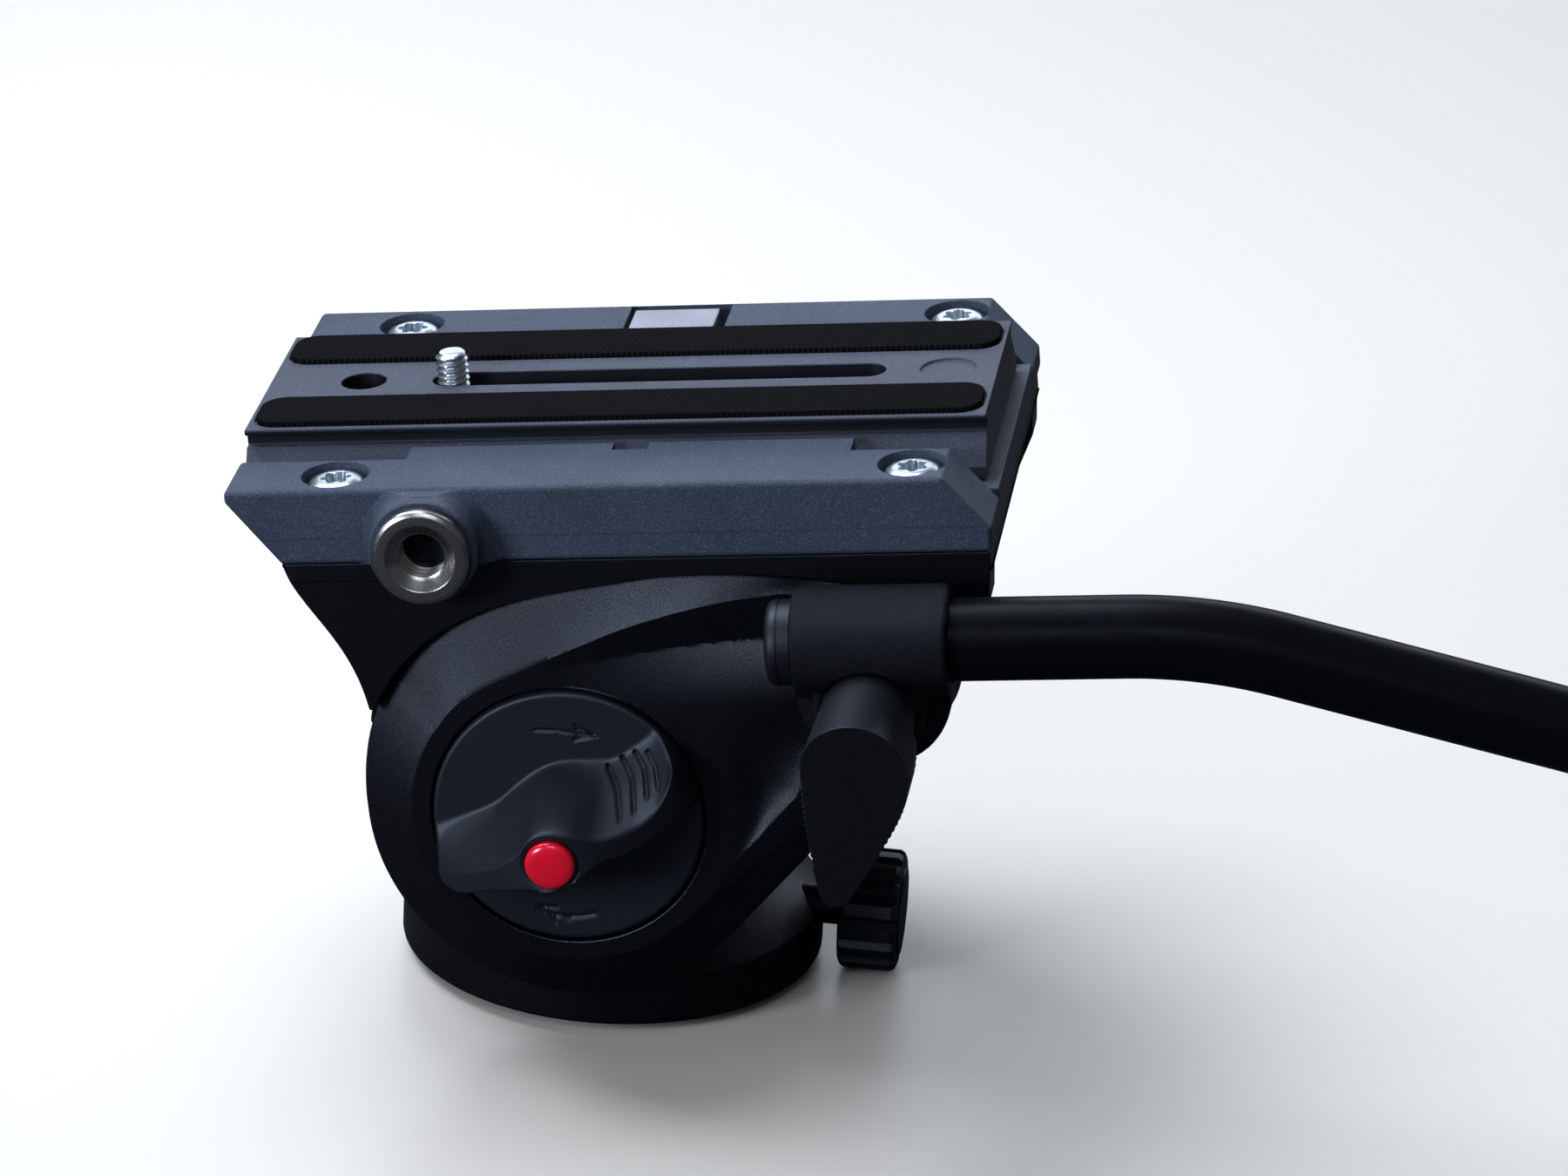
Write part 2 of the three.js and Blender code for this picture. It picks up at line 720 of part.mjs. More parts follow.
function makePanLock() {
  const profile = (radius, x) => Array.from({ length: panKnobFlutes * 3 }, (_, i) => {
    const angle = (2 * Math.PI * i) / (panKnobFlutes * 3);
    const inner = i % 3 === 0 ? panKnobFluteDepth : 0;
    const r = radius - inner;
    return new THREE.Vector3(x, r * Math.cos(angle), r * Math.sin(angle));
  });
  const near = panKnobDistance;
  const far = near + panKnobLength;
  const hole = alongX(cylinder(panScrewRadius + gap, near - overrun, far - 2 * panKnobChamfer, coarseSides));
  const knob = cut(loft([
    profile(panKnobRadius - panKnobChamfer, near), profile(panKnobRadius, near + panKnobChamfer),
    profile(panKnobRadius, far - panKnobChamfer), profile(panKnobRadius - panKnobChamfer, far),
  ]), hole);
  const shoeEnd = skirtRadius - skirtWall - shoeEndInset;
  const screw = alongX(cylinder(panScrewRadius, shoeEnd + gap, far - 2 * panKnobChamfer - gap, coarseSides));
  return [
    part('pan_lock_knob', knob.translate([0, 0, panKnobHeight]), materials.blackPlastic),
    part('pan_lock_screw', screw.translate([0, 0, panKnobHeight]), materials.steel),
  ];
}

// Side walls of the tilt frame, as [x, z] points about the tilt axis. Behind the covers they are cut away
// between the axle's ring and the boss, to clear the housing's skirt when the head tilts back
function wallOutline() {
  const path = new THREE.Path();
  path.moveTo(frameRear, deckTop);
  path.lineTo(-frameFront - gap, deckTop);
  path.lineTo(-frameFront - gap, deckLow);
  path.bezierCurveTo(
    -frameFront + 2 * gap, (deckLow + waistZ) / 2 + waistZ / 4, waistX - gap, (deckLow + waistZ) / 2,
    waistX, waistZ,
  );
  const start = Math.atan2(waistZ, waistX) + Math.PI / 16;
  path.lineTo(wallRadius * Math.cos(start), wallRadius * Math.sin(start));
  path.absarc(0, 0, wallRadius, start, THREE.MathUtils.degToRad(reliefDegrees), false);
  path.quadraticCurveTo(reliefX, reliefZ, (reliefX + bossX) / 2, (reliefZ + bossZ - bossRadius) / 2);
  path.absarc(bossX, bossZ, bossRadius, -Math.PI / 2, 0, false);
  path.lineTo(rearLowX, rearLowZ);
  return path.getPoints(8).map((p) => [p.x, p.y]);
}

function makeTiltFrame() {
  const wall = slab(wallOutline(), wallThickness).translate([0, -frameHalfWidth + wallThickness, 0]);
  const deck = box(-frameFront, frameRear, -deckHalfWidth, deckHalfWidth, deckLow, deckTop);
  const inside = railInner - gap - deckRib;
  const hollow = box(-frameFront + deckRib, frameRear - deckRib, -inside, inside, deckLow - overrun,
    deckTop + overrun);
  const holeEnd = frameHalfWidth + overrun;
  const axleHole = alongY(cylinder(axleRadius + gap, -holeEnd, holeEnd));
  const boltHole = alongY(cylinder(boltRadius + gap, -holeEnd, holeEnd, coarseSides))
    .translate([bossX, 0, bossZ]);
  const flare = makeFlare();
  const screwHoles = screwPlaces().map(([x, y]) => (
    cylinder(screwShankRadius + gap, deckLow - gap, railTop, coarseSides).translate([x, y, 0])
  ));
  const frame = join(deck, wall, mirrorY(wall), flare, mirrorY(flare));
  return cut(frame, hollow, axleHole, boltHole, ...screwHoles);
}

// The floor of the plate's channel lies on the deck between the rails. It is hollow from below
function makeFloor() {
  const half = railInner - gap;
  const block = box(-frameFront, railRear, -half, half, railLow, floorHeight);
  const hollow = box(-frameFront + deckRib, frameRear - deckRib, -half + deckRib, half - deckRib,
    railLow - overrun, floorHeight - floorThickness);
  return cut(block, hollow);
}

// The frame's flank leans out from the side cover's edge to the deck, and leaves the cover its room
function makeFlare() {
  const lean = THREE.MathUtils.radToDeg(Math.atan(deckOverhang / (deckLow - waistZ)));
  const block = slab(wallOutline(), deckOverhang + gap).translate([0, gap - frameHalfWidth, 0]);
  const outside = box(-trimReach, trimReach, -trimReach, 0, -trimReach, trimReach)
    .rotate([-lean, 0, 0]).translate([0, -deckHalfWidth, deckLow]);
  const below = box(-trimReach, trimReach, -trimReach, 0, -trimReach, waistZ);
  const room = coverBase().map((p) => {
    const grow = 1 + (2 * gap) / Math.hypot(p.x, p.y);
    return [p.x * grow, p.y * grow];
  });
  return cut(block, outside, below, slab(room, deckHalfWidth).translate([0, -frameHalfWidth, 0]));
}

const screwPlaces = () => [-screwAcross, screwAcross].flatMap((y) => (
  [[screwFrontInset - railFront, y], [railTopRear - screwRearInset, y]]
));

// The left rail, with the lip that holds the plate down and its screw holes
function makeRail() {
  const body = slab([
    [-railFront, railTop], [-railFront, railTop - railFrontNose], [-frameFront, railLow],
    [railRear, railLow], [railRear, railTop - railRearDrop], [railTopRear, railTop],
  ], railHalfWidth - railInner, railBevel).translate([0, -railInner, 0]);
  const flangeGap = plateFlangeHalfWidth + 1.5 * gap;
  const lip = bar([
    [-railInner - gap, railTop], [-lipInner, railTop], [-lipInner, railTop - lipThickness],
    [-flangeGap, plateFlankLow], [-flangeGap, floorHeight + gap], [-railInner - gap, floorHeight + gap],
  ], lipCentre - lipHalfLength, lipCentre + lipHalfLength);
  const notch = box(lipCentre - lipNotchHalfLength, lipCentre + lipNotchHalfLength,
    -lipInner - lipNotchDepth, -lipInner + overrun, floorHeight, railTop + overrun);
  const headLow = railTop - screwSink - screwHeadHeight;
  const recesses = screwPlaces().filter(([, y]) => y < 0).map(([x, y]) => join(
    cylinder(screwRecessRadius, headLow - gap, railTop + overrun),
    cylinder(screwShankRadius + gap, railLow - overrun, railTop, coarseSides),
  ).translate([x, y, 0]));
  return cut(join(body, lip), notch, ...recesses);
}

function makeLeftRail() {
  const face = railHalfWidth + accessoryBossReach;
  const boss = alongMinusY(cylinder(accessoryBossRadius, deckHalfWidth + gap, face))
    .translate([accessoryX, 0, accessoryZ]);
  const bossTop = box(-railFront, railRear, -face, 0, railTop - 2 * gap, railTop + overrun);
  const bore = alongMinusY(cylinder(accessoryBarrelRadius + gap, face - accessoryDepth, face + overrun))
    .translate([accessoryX, 0, accessoryZ]);
  return cut(join(makeRail(), cut(boss, bossTop)), bore);
}

function makeRightRail() {
  const jawNotch = box(jawX - jawHalfLength - notchFrontClearance, jawX + jawHalfLength + notchRearClearance,
    lipInner - overrun, jawOuter + jawTravel + gap, jawLow - gap, railTop + overrun);
  const holeEnd = railHalfWidth + overrun;
  const screwHole = alongY(cylinder(lockScrewRadius + gap, jawOuter, holeEnd, coarseSides))
    .translate([jawX, 0, lockAxisZ]);
  const buttonHole = alongY(cylinder(safetyRadius + gap, railHalfWidth - safetyLength - safetyProud, holeEnd,
    coarseSides)).translate([safetyX, 0, safetyZ]);
  return cut(mirrorY(makeRail()), jawNotch, screwHole, buttonHole);
}

// A round-headed screw with a star recess, its head's top at z = 0
function makeRailScrew() {
  const star = Array.from({ length: screwStarLobes * 2 }, (_, i) => {
    const angle = (2 * Math.PI * i) / (screwStarLobes * 2);
    const swing = (1 + Math.cos(screwStarLobes * angle)) / 2;
    const r = screwStarRadius * (screwStarShare + (1 - screwStarShare) * swing);
    return [r * Math.cos(angle), r * Math.sin(angle)];
  });
  const recess = slab(star, 2 * screwStarDepth).rotate([-90, 0, 0]).translate([0, 0, -screwStarDepth]);
  const shankLow = deckLow - (railTop - screwSink);
  const body = turned([
    [0, 0], [0, shankLow], [screwShankRadius, shankLow], [screwShankRadius, -screwHeadHeight],
    [screwHeadRadius, -screwHeadHeight], [screwHeadRadius, -screwHeadHeight / 2],
    [screwHeadRadius - screwHeadHeight / 4, -screwHeadHeight / 6], [screwStarRadius + gap, 0],
  ], coarseSides);
  return cut(body, recess);
}

function makeAccessoryBush() {
  const flangeLow = railHalfWidth + accessoryBossReach + gap;
  const flangeHigh = flangeLow + accessoryBushFlange;
  const low = railHalfWidth + accessoryBossReach - accessoryDepth + gap;
  return alongMinusY(turned([
    [accessoryThreadRadius, low], [accessoryBarrelRadius, low], [accessoryBarrelRadius, flangeLow],
    [accessoryBushRadius, flangeLow], [accessoryBushRadius, flangeHigh - accessoryEdge],
    [accessoryBushRadius - accessoryEdge, flangeHigh], [accessoryThreadRadius + accessoryMouth, flangeHigh],
    [accessoryThreadRadius, flangeHigh - accessoryMouth],
  ])).translate([accessoryX, 0, accessoryZ]);
}

// Side cover: its base outline lies on the frame's wall, its front outline is the collar and the swept ridge
function coverOutline(radius, leaveDegrees, crestX, crestZ, inset) {
  const bossEdge = bossRadius - inset;
  const tangent = Math.atan2(bossZ, bossX) - Math.acos((radius - bossEdge) / Math.hypot(bossX, bossZ));
  const leave = THREE.MathUtils.degToRad(leaveDegrees);
  const start = { x: radius * Math.cos(leave), z: radius * Math.sin(leave) };
  const span = Math.hypot(crestX - start.x, crestZ - start.z);
  const path = new THREE.Path();
  path.moveTo(radius * Math.cos(tangent), radius * Math.sin(tangent));
  path.absarc(0, 0, radius, tangent, -Math.PI, true);
  path.absarc(0, 0, radius, Math.PI, leave, true);
  path.bezierCurveTo(
    start.x + Math.sin(leave) * span * coverPullShare, start.z - Math.cos(leave) * span * coverPullShare,
    crestX - span * coverPullShare, crestZ - span * coverPullShare * coverCrestShare, crestX, crestZ,
  );
  path.bezierCurveTo(
    (crestX + bossX) / 2, crestZ + (bossX - crestX) * coverCrestShare / 2, bossX + bossEdge, crestZ,
    bossX + bossEdge, bossZ,
  );
  path.absarc(bossX, bossZ, bossEdge, 0, tangent, true);
  path.closePath();
  return path;
}

// Each curve of the outline has its own number of points, so that two outlines can be skinned to each other
function coverPoints(path, steps) {
  return path.curves.filter((curve) => curve.getLength() > gap).flatMap((curve, k) => (
    Array.from({ length: steps[k] }, (_, i) => curve.getPoint(i / steps[k]))
  ));
}

const coverBase = () => coverPoints(
  coverOutline(coverRadius, coverLeaveDegrees, coverCrestX, coverCrestZ, 0), coverBaseSteps,
);

function makeSideCover() {
  const near = frameHalfWidth + gap;
  const far = near + coverDepth;
  const front = coverPoints(coverOutline(collarRadius, collarLeaveDegrees, coverCrestX + coverRimWidth,
    coverCrestZ - 2 * coverRimWidth, coverRimWidth / 2), coverFrontSteps);
  const atDepth = (points, y) => points.map((p) => new THREE.Vector3(p.x, y, p.y));
  const body = loft([atDepth(coverBase(), -near), atDepth(front, -far)]);
  const pocket = alongMinusY(cylinder(knobPocketRadius, far - knobPocketDepth, far + overrun, fineSides));
  const bore = alongMinusY(cylinder(knobScrewRadius + gap, near - overrun, far, coarseSides));
  const rosetteFloor = far - bossSink - gap - rosetteBase - rosetteTooth;
  const onBoss = (solid) => solid.translate([bossX, 0, bossZ]);
  const spotface = onBoss(alongMinusY(cylinder(clampHubRadius + 2 * gap, far - bossSink, far + overrun)));
  const rosettePocket = onBoss(alongMinusY(cylinder(rosetteRadius + gap, rosetteFloor, far + overrun)));
  const boltBore = onBoss(alongMinusY(cylinder(boltRadius + gap, near - overrun, far, coarseSides)));
  return cut(body, pocket, bore, spotface, rosettePocket, boltBore, ...makeValleys(far));
}

// Two valleys beside the arm that runs from the collar to the boss. Each is drawn from a line beside the
// rim, along it and away from it, and its floor sinks towards the arm
function makeValleys(far) {
  const valley = (points, x, z, turnDegrees, sinkDegrees) => slab(points, 2 * valleyDepth)
    .rotate([sinkDegrees, -turnDegrees, 0]).translate([x, -far, z]);
  const across = bossX - coverCrestX;
  const upper = valley([
    [0, 0], [across, 0], [across, -upperValleyWidth], [across * valleyWaistShare, -upperValleyWidth],
    [-coverCrestX, -upperValleyWidth * valleyWaistShare],
  ], coverCrestX, coverCrestZ - 2.6 * coverRimWidth, upperValleyDegrees, valleySinkDegrees);
  const lower = valley([
    [0, 0], [lowerValleyLength, 0], [lowerValleyLength, lowerValleyWidth],
    [lowerValleyLength * valleyWaistShare, lowerValleyWidth],
  ], lowerValleyX, lowerValleyZ, lowerValleyDegrees, -valleySinkDegrees);
  return [upper, lower];
}

// A ring with radial teeth on its -Y face, its back at y = 0
function makeRosette(inner, outer, base, tooth) {
  const count = rosetteTeeth * 2;
  const ringAt = (radius, height) => Array.from({ length: count }, (_, i) => {
    const angle = (2 * Math.PI * i) / count;
    const rise = height === null ? base + (i % 2 ? tooth * (radius / outer) : 0) : height;
    return new THREE.Vector3(radius * Math.cos(angle), -rise, radius * Math.sin(angle));
  });
  const rings = [ringAt(inner, 0), ringAt(outer, 0), ringAt(outer, null), ringAt(inner, null)];
  const positions = rings.flat().flatMap((p) => [p.x, p.y, p.z]);
  const index = [];
  for (let r = 0; r < rings.length; r += 1) {
    const low = r * count;
    const high = ((r + 1) % rings.length) * count;
    for (let i = 0; i < count; i += 1) {
      const j = (i + 1) % count;
      index.push(low + i, low + j, high + j, low + i, high + j, high + i);
    }
  }
  const geometry = new THREE.BufferGeometry();
  geometry.setAttribute('position', new THREE.Float32BufferAttribute(positions, 3));
  geometry.setIndex(index);
  return toSolid(geometry);
}

function makeClampBolt() {
  const low = frameInner - gap;
  return alongMinusY(join(
    cylinder(boltHeadRadius, low - boltHeadHeight, low, 6),
    cylinder(boltRadius, low - boltHeadHeight / 2, clampFace + leverStart + leverBoltDepth - gap,
      coarseSides),
  )).translate([bossX, 0, bossZ]);
}

function makeTiltHead() {
  const screwTop = railTop - screwSink;
  const screws = screwPlaces().map(([x, y], i) => part(`rail_screw_${i + 1}`,
    makeRailScrew().translate([x, y, screwTop]), materials.steel));
  const cover = makeSideCover();
  const rosette = makeRosette(rosetteInner, rosetteRadius, rosetteBase, rosetteTooth)
    .translate([bossX, -(bossFace - rosetteBase - rosetteTooth), bossZ]);
  const cap = alongY(cylinder(capRadius, coverFar - knobPocketDepth + gap, coverFar + capProud, fineSides));
  const axle = cut(
    alongY(cylinder(axleRadius, -frameHalfWidth, frameHalfWidth)),
    alongMinusY(cylinder(knobScrewRadius + gap, frameHalfWidth - knobScrewLength - brakePadThickness,
      frameHalfWidth + overrun, coarseSides)),
  );
  return [
    part('tilt_frame', makeTiltFrame(), materials.blackCasting),
    part('channel_floor', makeFloor(), materials.railPaint),
    part('left_rail', makeLeftRail(), materials.railPaint),
    part('right_rail', makeRightRail(), materials.railPaint),
    ...screws,
    part('accessory_bush', makeAccessoryBush(), materials.steel),
    part('left_side_cover', cover, materials.blackCasting),
    part('right_side_cover', mirrorY(cover), materials.blackCasting),
    part('right_cap', cap, materials.blackPlastic),
    part('left_rosette', rosette, materials.steel),
    part('right_rosette', mirrorY(rosette), materials.steel),
    part('clamp_bolt', makeClampBolt(), materials.steel),
    part('tilt_axle', axle, materials.steel),
  ];
}

// Height of a line on the knob's front at a place across its axis, from a table of shares
function follow(shares, across) {
  const x = across / knobRadius;
  const last = shares.length - 2;
  let k = 0;
  while (k < last && x > shares[k + 1][0]) k += 1;
  const [x0, z0] = shares[k];
  const [x1, z1] = shares[k + 1];
  const t = Math.min(1, Math.max(0, (x - x0) / (x1 - x0)));
  return knobRadius * (z0 + (z1 - z0) * t);
}

// Height of the tilt lock knob's front over the cover's face, at a place across and up from its axis
function knobFront(across, up) {
  const ridge = follow(ridgeShares, across);
  const foot = follow(wingFootShares, across);
  const bottom = follow(lowerShares, across);
  const share = Math.min(1, Math.abs(across) / knobRadius);
  const crown = knobEndHeight + (knobHeight - knobEndHeight) * (1 - share * share);
  if (up > ridge) {
    const t = Math.min(1, (up - ridge) / Math.max(gap, foot - ridge));
    return knobRimHeight + (crown - knobRimHeight) * (1 - t) ** knobHollowShare;
  }
  if (up < bottom) {
    const t = Math.min(1, (bottom - up) / knobFlankWidth);
    return knobFloor + (crown - knobFloor) * (1 - t * t * (3 - 2 * t));
  }
  return crown;
}

// Rows of the knob's front across its axis: the rims, and the lines where the wing's faces meet
function knobRows(across) {
  const rim = Math.sqrt(Math.max(0, knobRadius * knobRadius - across * across));
  const ridge = follow(ridgeShares, across);
  const foot = follow(wingFootShares, across);
  const bottom = follow(lowerShares, across);
  const within = (z) => Math.min(rim, Math.max(-rim, z));
  return [
    -rim, within(bottom - knobFlankWidth), within(bottom - knobFlankWidth / 2), within(bottom),
    within(ridge),
    ...knobSlopeShares.map((share) => within(ridge + (foot - ridge) * share)), within(foot), rim,
  ];
}

function makeKnob() {
  const back = coverFar - knobPocketDepth + gap;
  const grid = Array.from({ length: knobColumns + 1 }, (_, i) => {
    const across = -knobRadius * Math.cos((Math.PI * i) / knobColumns);
    return knobRows(across).map((up) => new THREE.Vector3(across, -(coverFar + knobFront(across, up)), up));
  });
  const rows = grid[0].length;
  const positions = grid.flat().flatMap((p) => [p.x, p.y, p.z]);
  const backStart = positions.length / 3;
  for (const column of grid) {
    for (const p of [column[0], column[rows - 1]]) positions.push(p.x, -back, p.z);
  }
  const index = [];
  const quad = (a, b, c, d) => index.push(a, b, c, a, c, d);
  for (let i = 0; i < knobColumns; i += 1) {
    const here = i * rows;
    const next = here + rows;
    for (let j = 0; j + 1 < rows; j += 1) quad(here + j, next + j, next + j + 1, here + j + 1);
    const low = backStart + 2 * i;
    quad(low, low + 1, low + 3, low + 2);
    quad(low, low + 2, next, here);
    quad(low + 3, low + 1, here + rows - 1, next + rows - 1);
  }
  const geometry = new THREE.BufferGeometry();
  geometry.setAttribute('position', new THREE.Float32BufferAttribute(positions, 3));
  geometry.setIndex(index);
  const screwHole = alongMinusY(cylinder(knobScrewRadius + gap, back - overrun, coverFar + knobHeight / 2,
    coarseSides));
  const capSeat = alongMinusY(cylinder(knobCapRadius + gap, coverFar + knobHeight - knobCapSeat,
    coverFar + knobHeight + overrun, coarseSides));
  return cut(toSolid(geometry), screwHole, capSeat);
}

function makeTiltLock() {
  const capLow = coverFar + knobHeight - knobCapSeat + gap;
  const capHigh = coverFar + knobHeight + knobCapRise;
  const cap = alongMinusY(turned([
    [0, capLow], [knobCapRadius, capLow], [knobCapRadius, capHigh - knobCapRise],
    [knobCapRadius * 0.8, capHigh - knobCapRise / 3], [knobCapRadius * 0.45, capHigh - knobCapRise / 10],
    [0, capHigh],
  ]));
  const screw = alongMinusY(cylinder(knobScrewRadius, frameHalfWidth - knobScrewLength,
    coverFar + knobHeight / 2 - gap, coarseSides));
  return [
    part('tilt_lock_knob', makeKnob(), materials.blackPlastic),
    part('knob_cap', cap, materials.redGloss),
    part('tilt_lock_screw', screw, materials.steel),
  ];
}

// Camera plate: a dovetail section drawn out along X
function makePlate() {
  const half = [
    [plateHalfWidth - plateEdge, plateTop], [plateHalfWidth, plateTop - plateEdge],
    [plateHalfWidth, plateDeckLow], [plateHalfWidth - plateNeckInset, plateDeckLow],
    [plateHalfWidth - plateNeckInset, plateFlankTop], [plateHalfWidth - plateFlankTopInset, plateFlankTop],
    [plateFlangeHalfWidth, plateFlankLow], [plateFlangeHalfWidth, plateUnder],
  ];
  const section = [...half, ...half.map(([y, z]) => [-y, z]).reverse()];
  const channelHalf = cameraWasherRadius + channelClearance;
  const channel = box(slotFront - cameraWasherRadius, slotRear + cameraWasherRadius, -channelHalf,
    channelHalf, plateUnder - overrun, plateTop - slotDeckThickness);
  const slotEnd = (x) => cylinder(slotHalfWidth, plateUnder, plateTop + overrun, coarseSides)
    .translate([x, 0, 0]);
  const slot = join(box(slotFront + slotHalfWidth, slotRear - slotHalfWidth, -slotHalfWidth, slotHalfWidth,
    plateUnder, plateTop + overrun), slotEnd(slotFront + slotHalfWidth), slotEnd(slotRear - slotHalfWidth));
  const pinHole = cylinder(pinHoleRadius, plateTop - pinHoleDepth, plateTop + overrun, coarseSides)
    .translate([plateFront + pinHoleInset, 0, 0]);
  const recess = cylinder(recessRadius, plateTop - recessDepth, plateTop + overrun)
    .translate([plateRear - recessInset, 0, 0]);
  const pocket = padSolid(plateTop - padSink, plateTop + overrun, gap);
  return cut(bar(section, plateFront, plateRear), channel, slot, pinHole, recess, pocket, mirrorY(pocket));
}

function padSolid(low, high, grow) {
  const halfLength = plateLength / 2 - padMargin + grow;
  const halfWidth = padWidth / 2 + grow;
  const corner = padWidth * padCornerShare + grow;
  const shape = new THREE.Shape();
  shape.absarc(halfLength - corner, halfWidth - corner, corner, 0, Math.PI / 2, false);
  shape.absarc(-halfLength + corner, halfWidth - corner, corner, Math.PI / 2, Math.PI, false);
  shape.absarc(-halfLength + corner, -halfWidth + corner, corner, Math.PI, Math.PI * 1.5, false);
  shape.absarc(halfLength - corner, -halfWidth + corner, corner, Math.PI * 1.5, Math.PI * 2, false);
  const depth = high - low;
  const geometry = new THREE.ExtrudeGeometry(shape, { depth, bevelEnabled: false, curveSegments: 5 });
  geometry.translate(plateCentre, -padOffset, low);
  return toSolid(geometry);
}

function makeCameraPlate() {
  const pad = padSolid(plateTop - padSink + gap, plateTop + padRise, 0);
  return [
    part('camera_plate', makePlate(), materials.platePaint),
    part('near_pad', pad, materials.rubber),
    part('far_pad', mirrorY(pad), materials.rubber),
  ];
}

function makeCameraScrew() {
  const washerHigh = plateTop - slotDeckThickness - gap;
  const washerLowEdge = washerHigh - cameraWasherThickness;
  const headHigh = washerLowEdge - gap;
  const top = plateTop + cameraScrewRise;
  const screw = turned([
    [0, headHigh - cameraScrewHeadHeight], [cameraScrewHeadRadius, headHigh - cameraScrewHeadHeight],
    [cameraScrewHeadRadius, headHigh], [cameraScrewRadius, headHigh],
    [cameraScrewRadius, top - cameraScrewChamfer], [cameraScrewRadius - cameraScrewChamfer, top], [0, top],
  ], coarseSides);
  const washer = ring(cameraScrewRadius + gap, cameraWasherRadius, washerLowEdge, washerHigh, coarseSides);
  return [
    part('screw_washer', washer.translate([cameraScrewX, 0, 0]), materials.steel),
    part('camera_screw', screw.translate([cameraScrewX, 0, 0]), materials.steel),
  ];
}

function makeJaw() {
  const high = railTop - jawTopInset;
  const flangeGap = plateFlangeHalfWidth + 1.5 * gap;
  const body = bar([
    [lipInner, high], [lipInner, railTop - lipThickness], [flangeGap, plateFlankLow],
    [flangeGap, floorHeight + 2 * gap], [railInner + gap, floorHeight + 2 * gap], [railInner + gap, jawLow],
    [jawOuter, jawLow], [jawOuter, high],
  ], jawX - jawHalfLength, jawX + jawHalfLength);
  const hole = alongY(cylinder(lockScrewRadius + gap, jawOuter - jawScrewDepth, jawOuter + overrun,
    coarseSides)).translate([jawX, 0, lockAxisZ]);
  return part('clamp_jaw', cut(body, hole), materials.steel);
}

function makePlateLock() {
  const drop = THREE.MathUtils.degToRad(lockLeverDropDegrees);
  const near = railHalfWidth + lockLeverStandoff;
  const endX = lockLeverReach - lockLeverCorner;
  const endZ = lockLeverEndHalfWidth - lockLeverCorner;
  const shape = new THREE.Shape();
  shape.absarc(0, 0, lockHubRadius, Math.PI / 2, Math.PI * 1.5, false);
  shape.absarc(endX, -endZ, lockLeverCorner, Math.PI * 1.5, Math.PI * 2, false);
  shape.absarc(endX, endZ, lockLeverCorner, 0, Math.PI / 2, false);
  const points = shape.getPoints(6).map((p) => [
    p.x * Math.cos(drop) + p.y * Math.sin(drop), -p.x * Math.sin(drop) + p.y * Math.cos(drop),
  ]);
  const hole = alongY(cylinder(lockScrewRadius + gap, near - overrun, near + lockLeverThickness / 2,
    coarseSides));
  const arm = mirrorY(slab(points, lockLeverThickness, railBevel)).translate([0, near, 0]);
  const lever = cut(arm, hole).translate([jawX, 0, lockAxisZ]);
  const screw = alongY(cylinder(lockScrewRadius, jawOuter - jawScrewDepth + jawTravel + 2 * gap,
    near + lockLeverThickness / 2 - gap, coarseSides)).translate([jawX, 0, lockAxisZ]);
  return [
    part('plate_lock_lever', lever, materials.blackPlastic),
    part('lock_lever_screw', screw, materials.steel),
  ];
}

function makeSafetyButton() {
  const high = railHalfWidth + safetyProud;
  const button = alongY(turned([
    [0, high - safetyLength], [safetyRadius, high - safetyLength], [safetyRadius, high - gap],
    [safetyRadius - gap, high], [0, high],
  ], coarseSides));
  return part('safety_button', button.translate([safetyX, 0, safetyZ]), materials.redGloss);
}

// Pan bar: stations along its centre line, each with a place and a direction in the XZ plane
const barOut = clampFace + barAxisOut;
const barUp = bossZ + barAxisUp;
const clampFront = bossX - clampTubeFront;

function barStation(distance) {
  const bend = THREE.MathUtils.degToRad(barBendDegrees);
  const arc = barBendRadius * bend;
  if (distance <= barStraight) return { x: clampFront + distance, z: barUp, angle: 0 };
  if (distance <= barStraight + arc) {
    const angle = (distance - barStraight) / barBendRadius;
    return {
      x: clampFront + barStraight + barBendRadius * Math.sin(angle),
      z: barUp - barBendRadius * (1 - Math.cos(angle)),
      angle,
    };
  }
  const rest = distance - barStraight - arc;
  return {
    x: clampFront + barStraight + barBendRadius * Math.sin(bend) + rest * Math.cos(bend),
    z: barUp - barBendRadius * (1 - Math.cos(bend)) - rest * Math.sin(bend),
    angle: bend,
  };
}

const barArc = barBendRadius * THREE.MathUtils.degToRad(barBendDegrees);
const barLength = barStraight + barArc + barTail;

// A round rod along the bar's centre line, with a radius for each distance
function rodAlongBar(steps, count = coarseSides) {
  return loft(steps.map(([distance, radius]) => {
    const { x, z, angle } = barStation(distance);
    return circle(radius, count).map(([a, b]) => (
      new THREE.Vector3(x + b * Math.sin(angle), -barOut + a, z + b * Math.cos(angle))
    ));
  }));
}

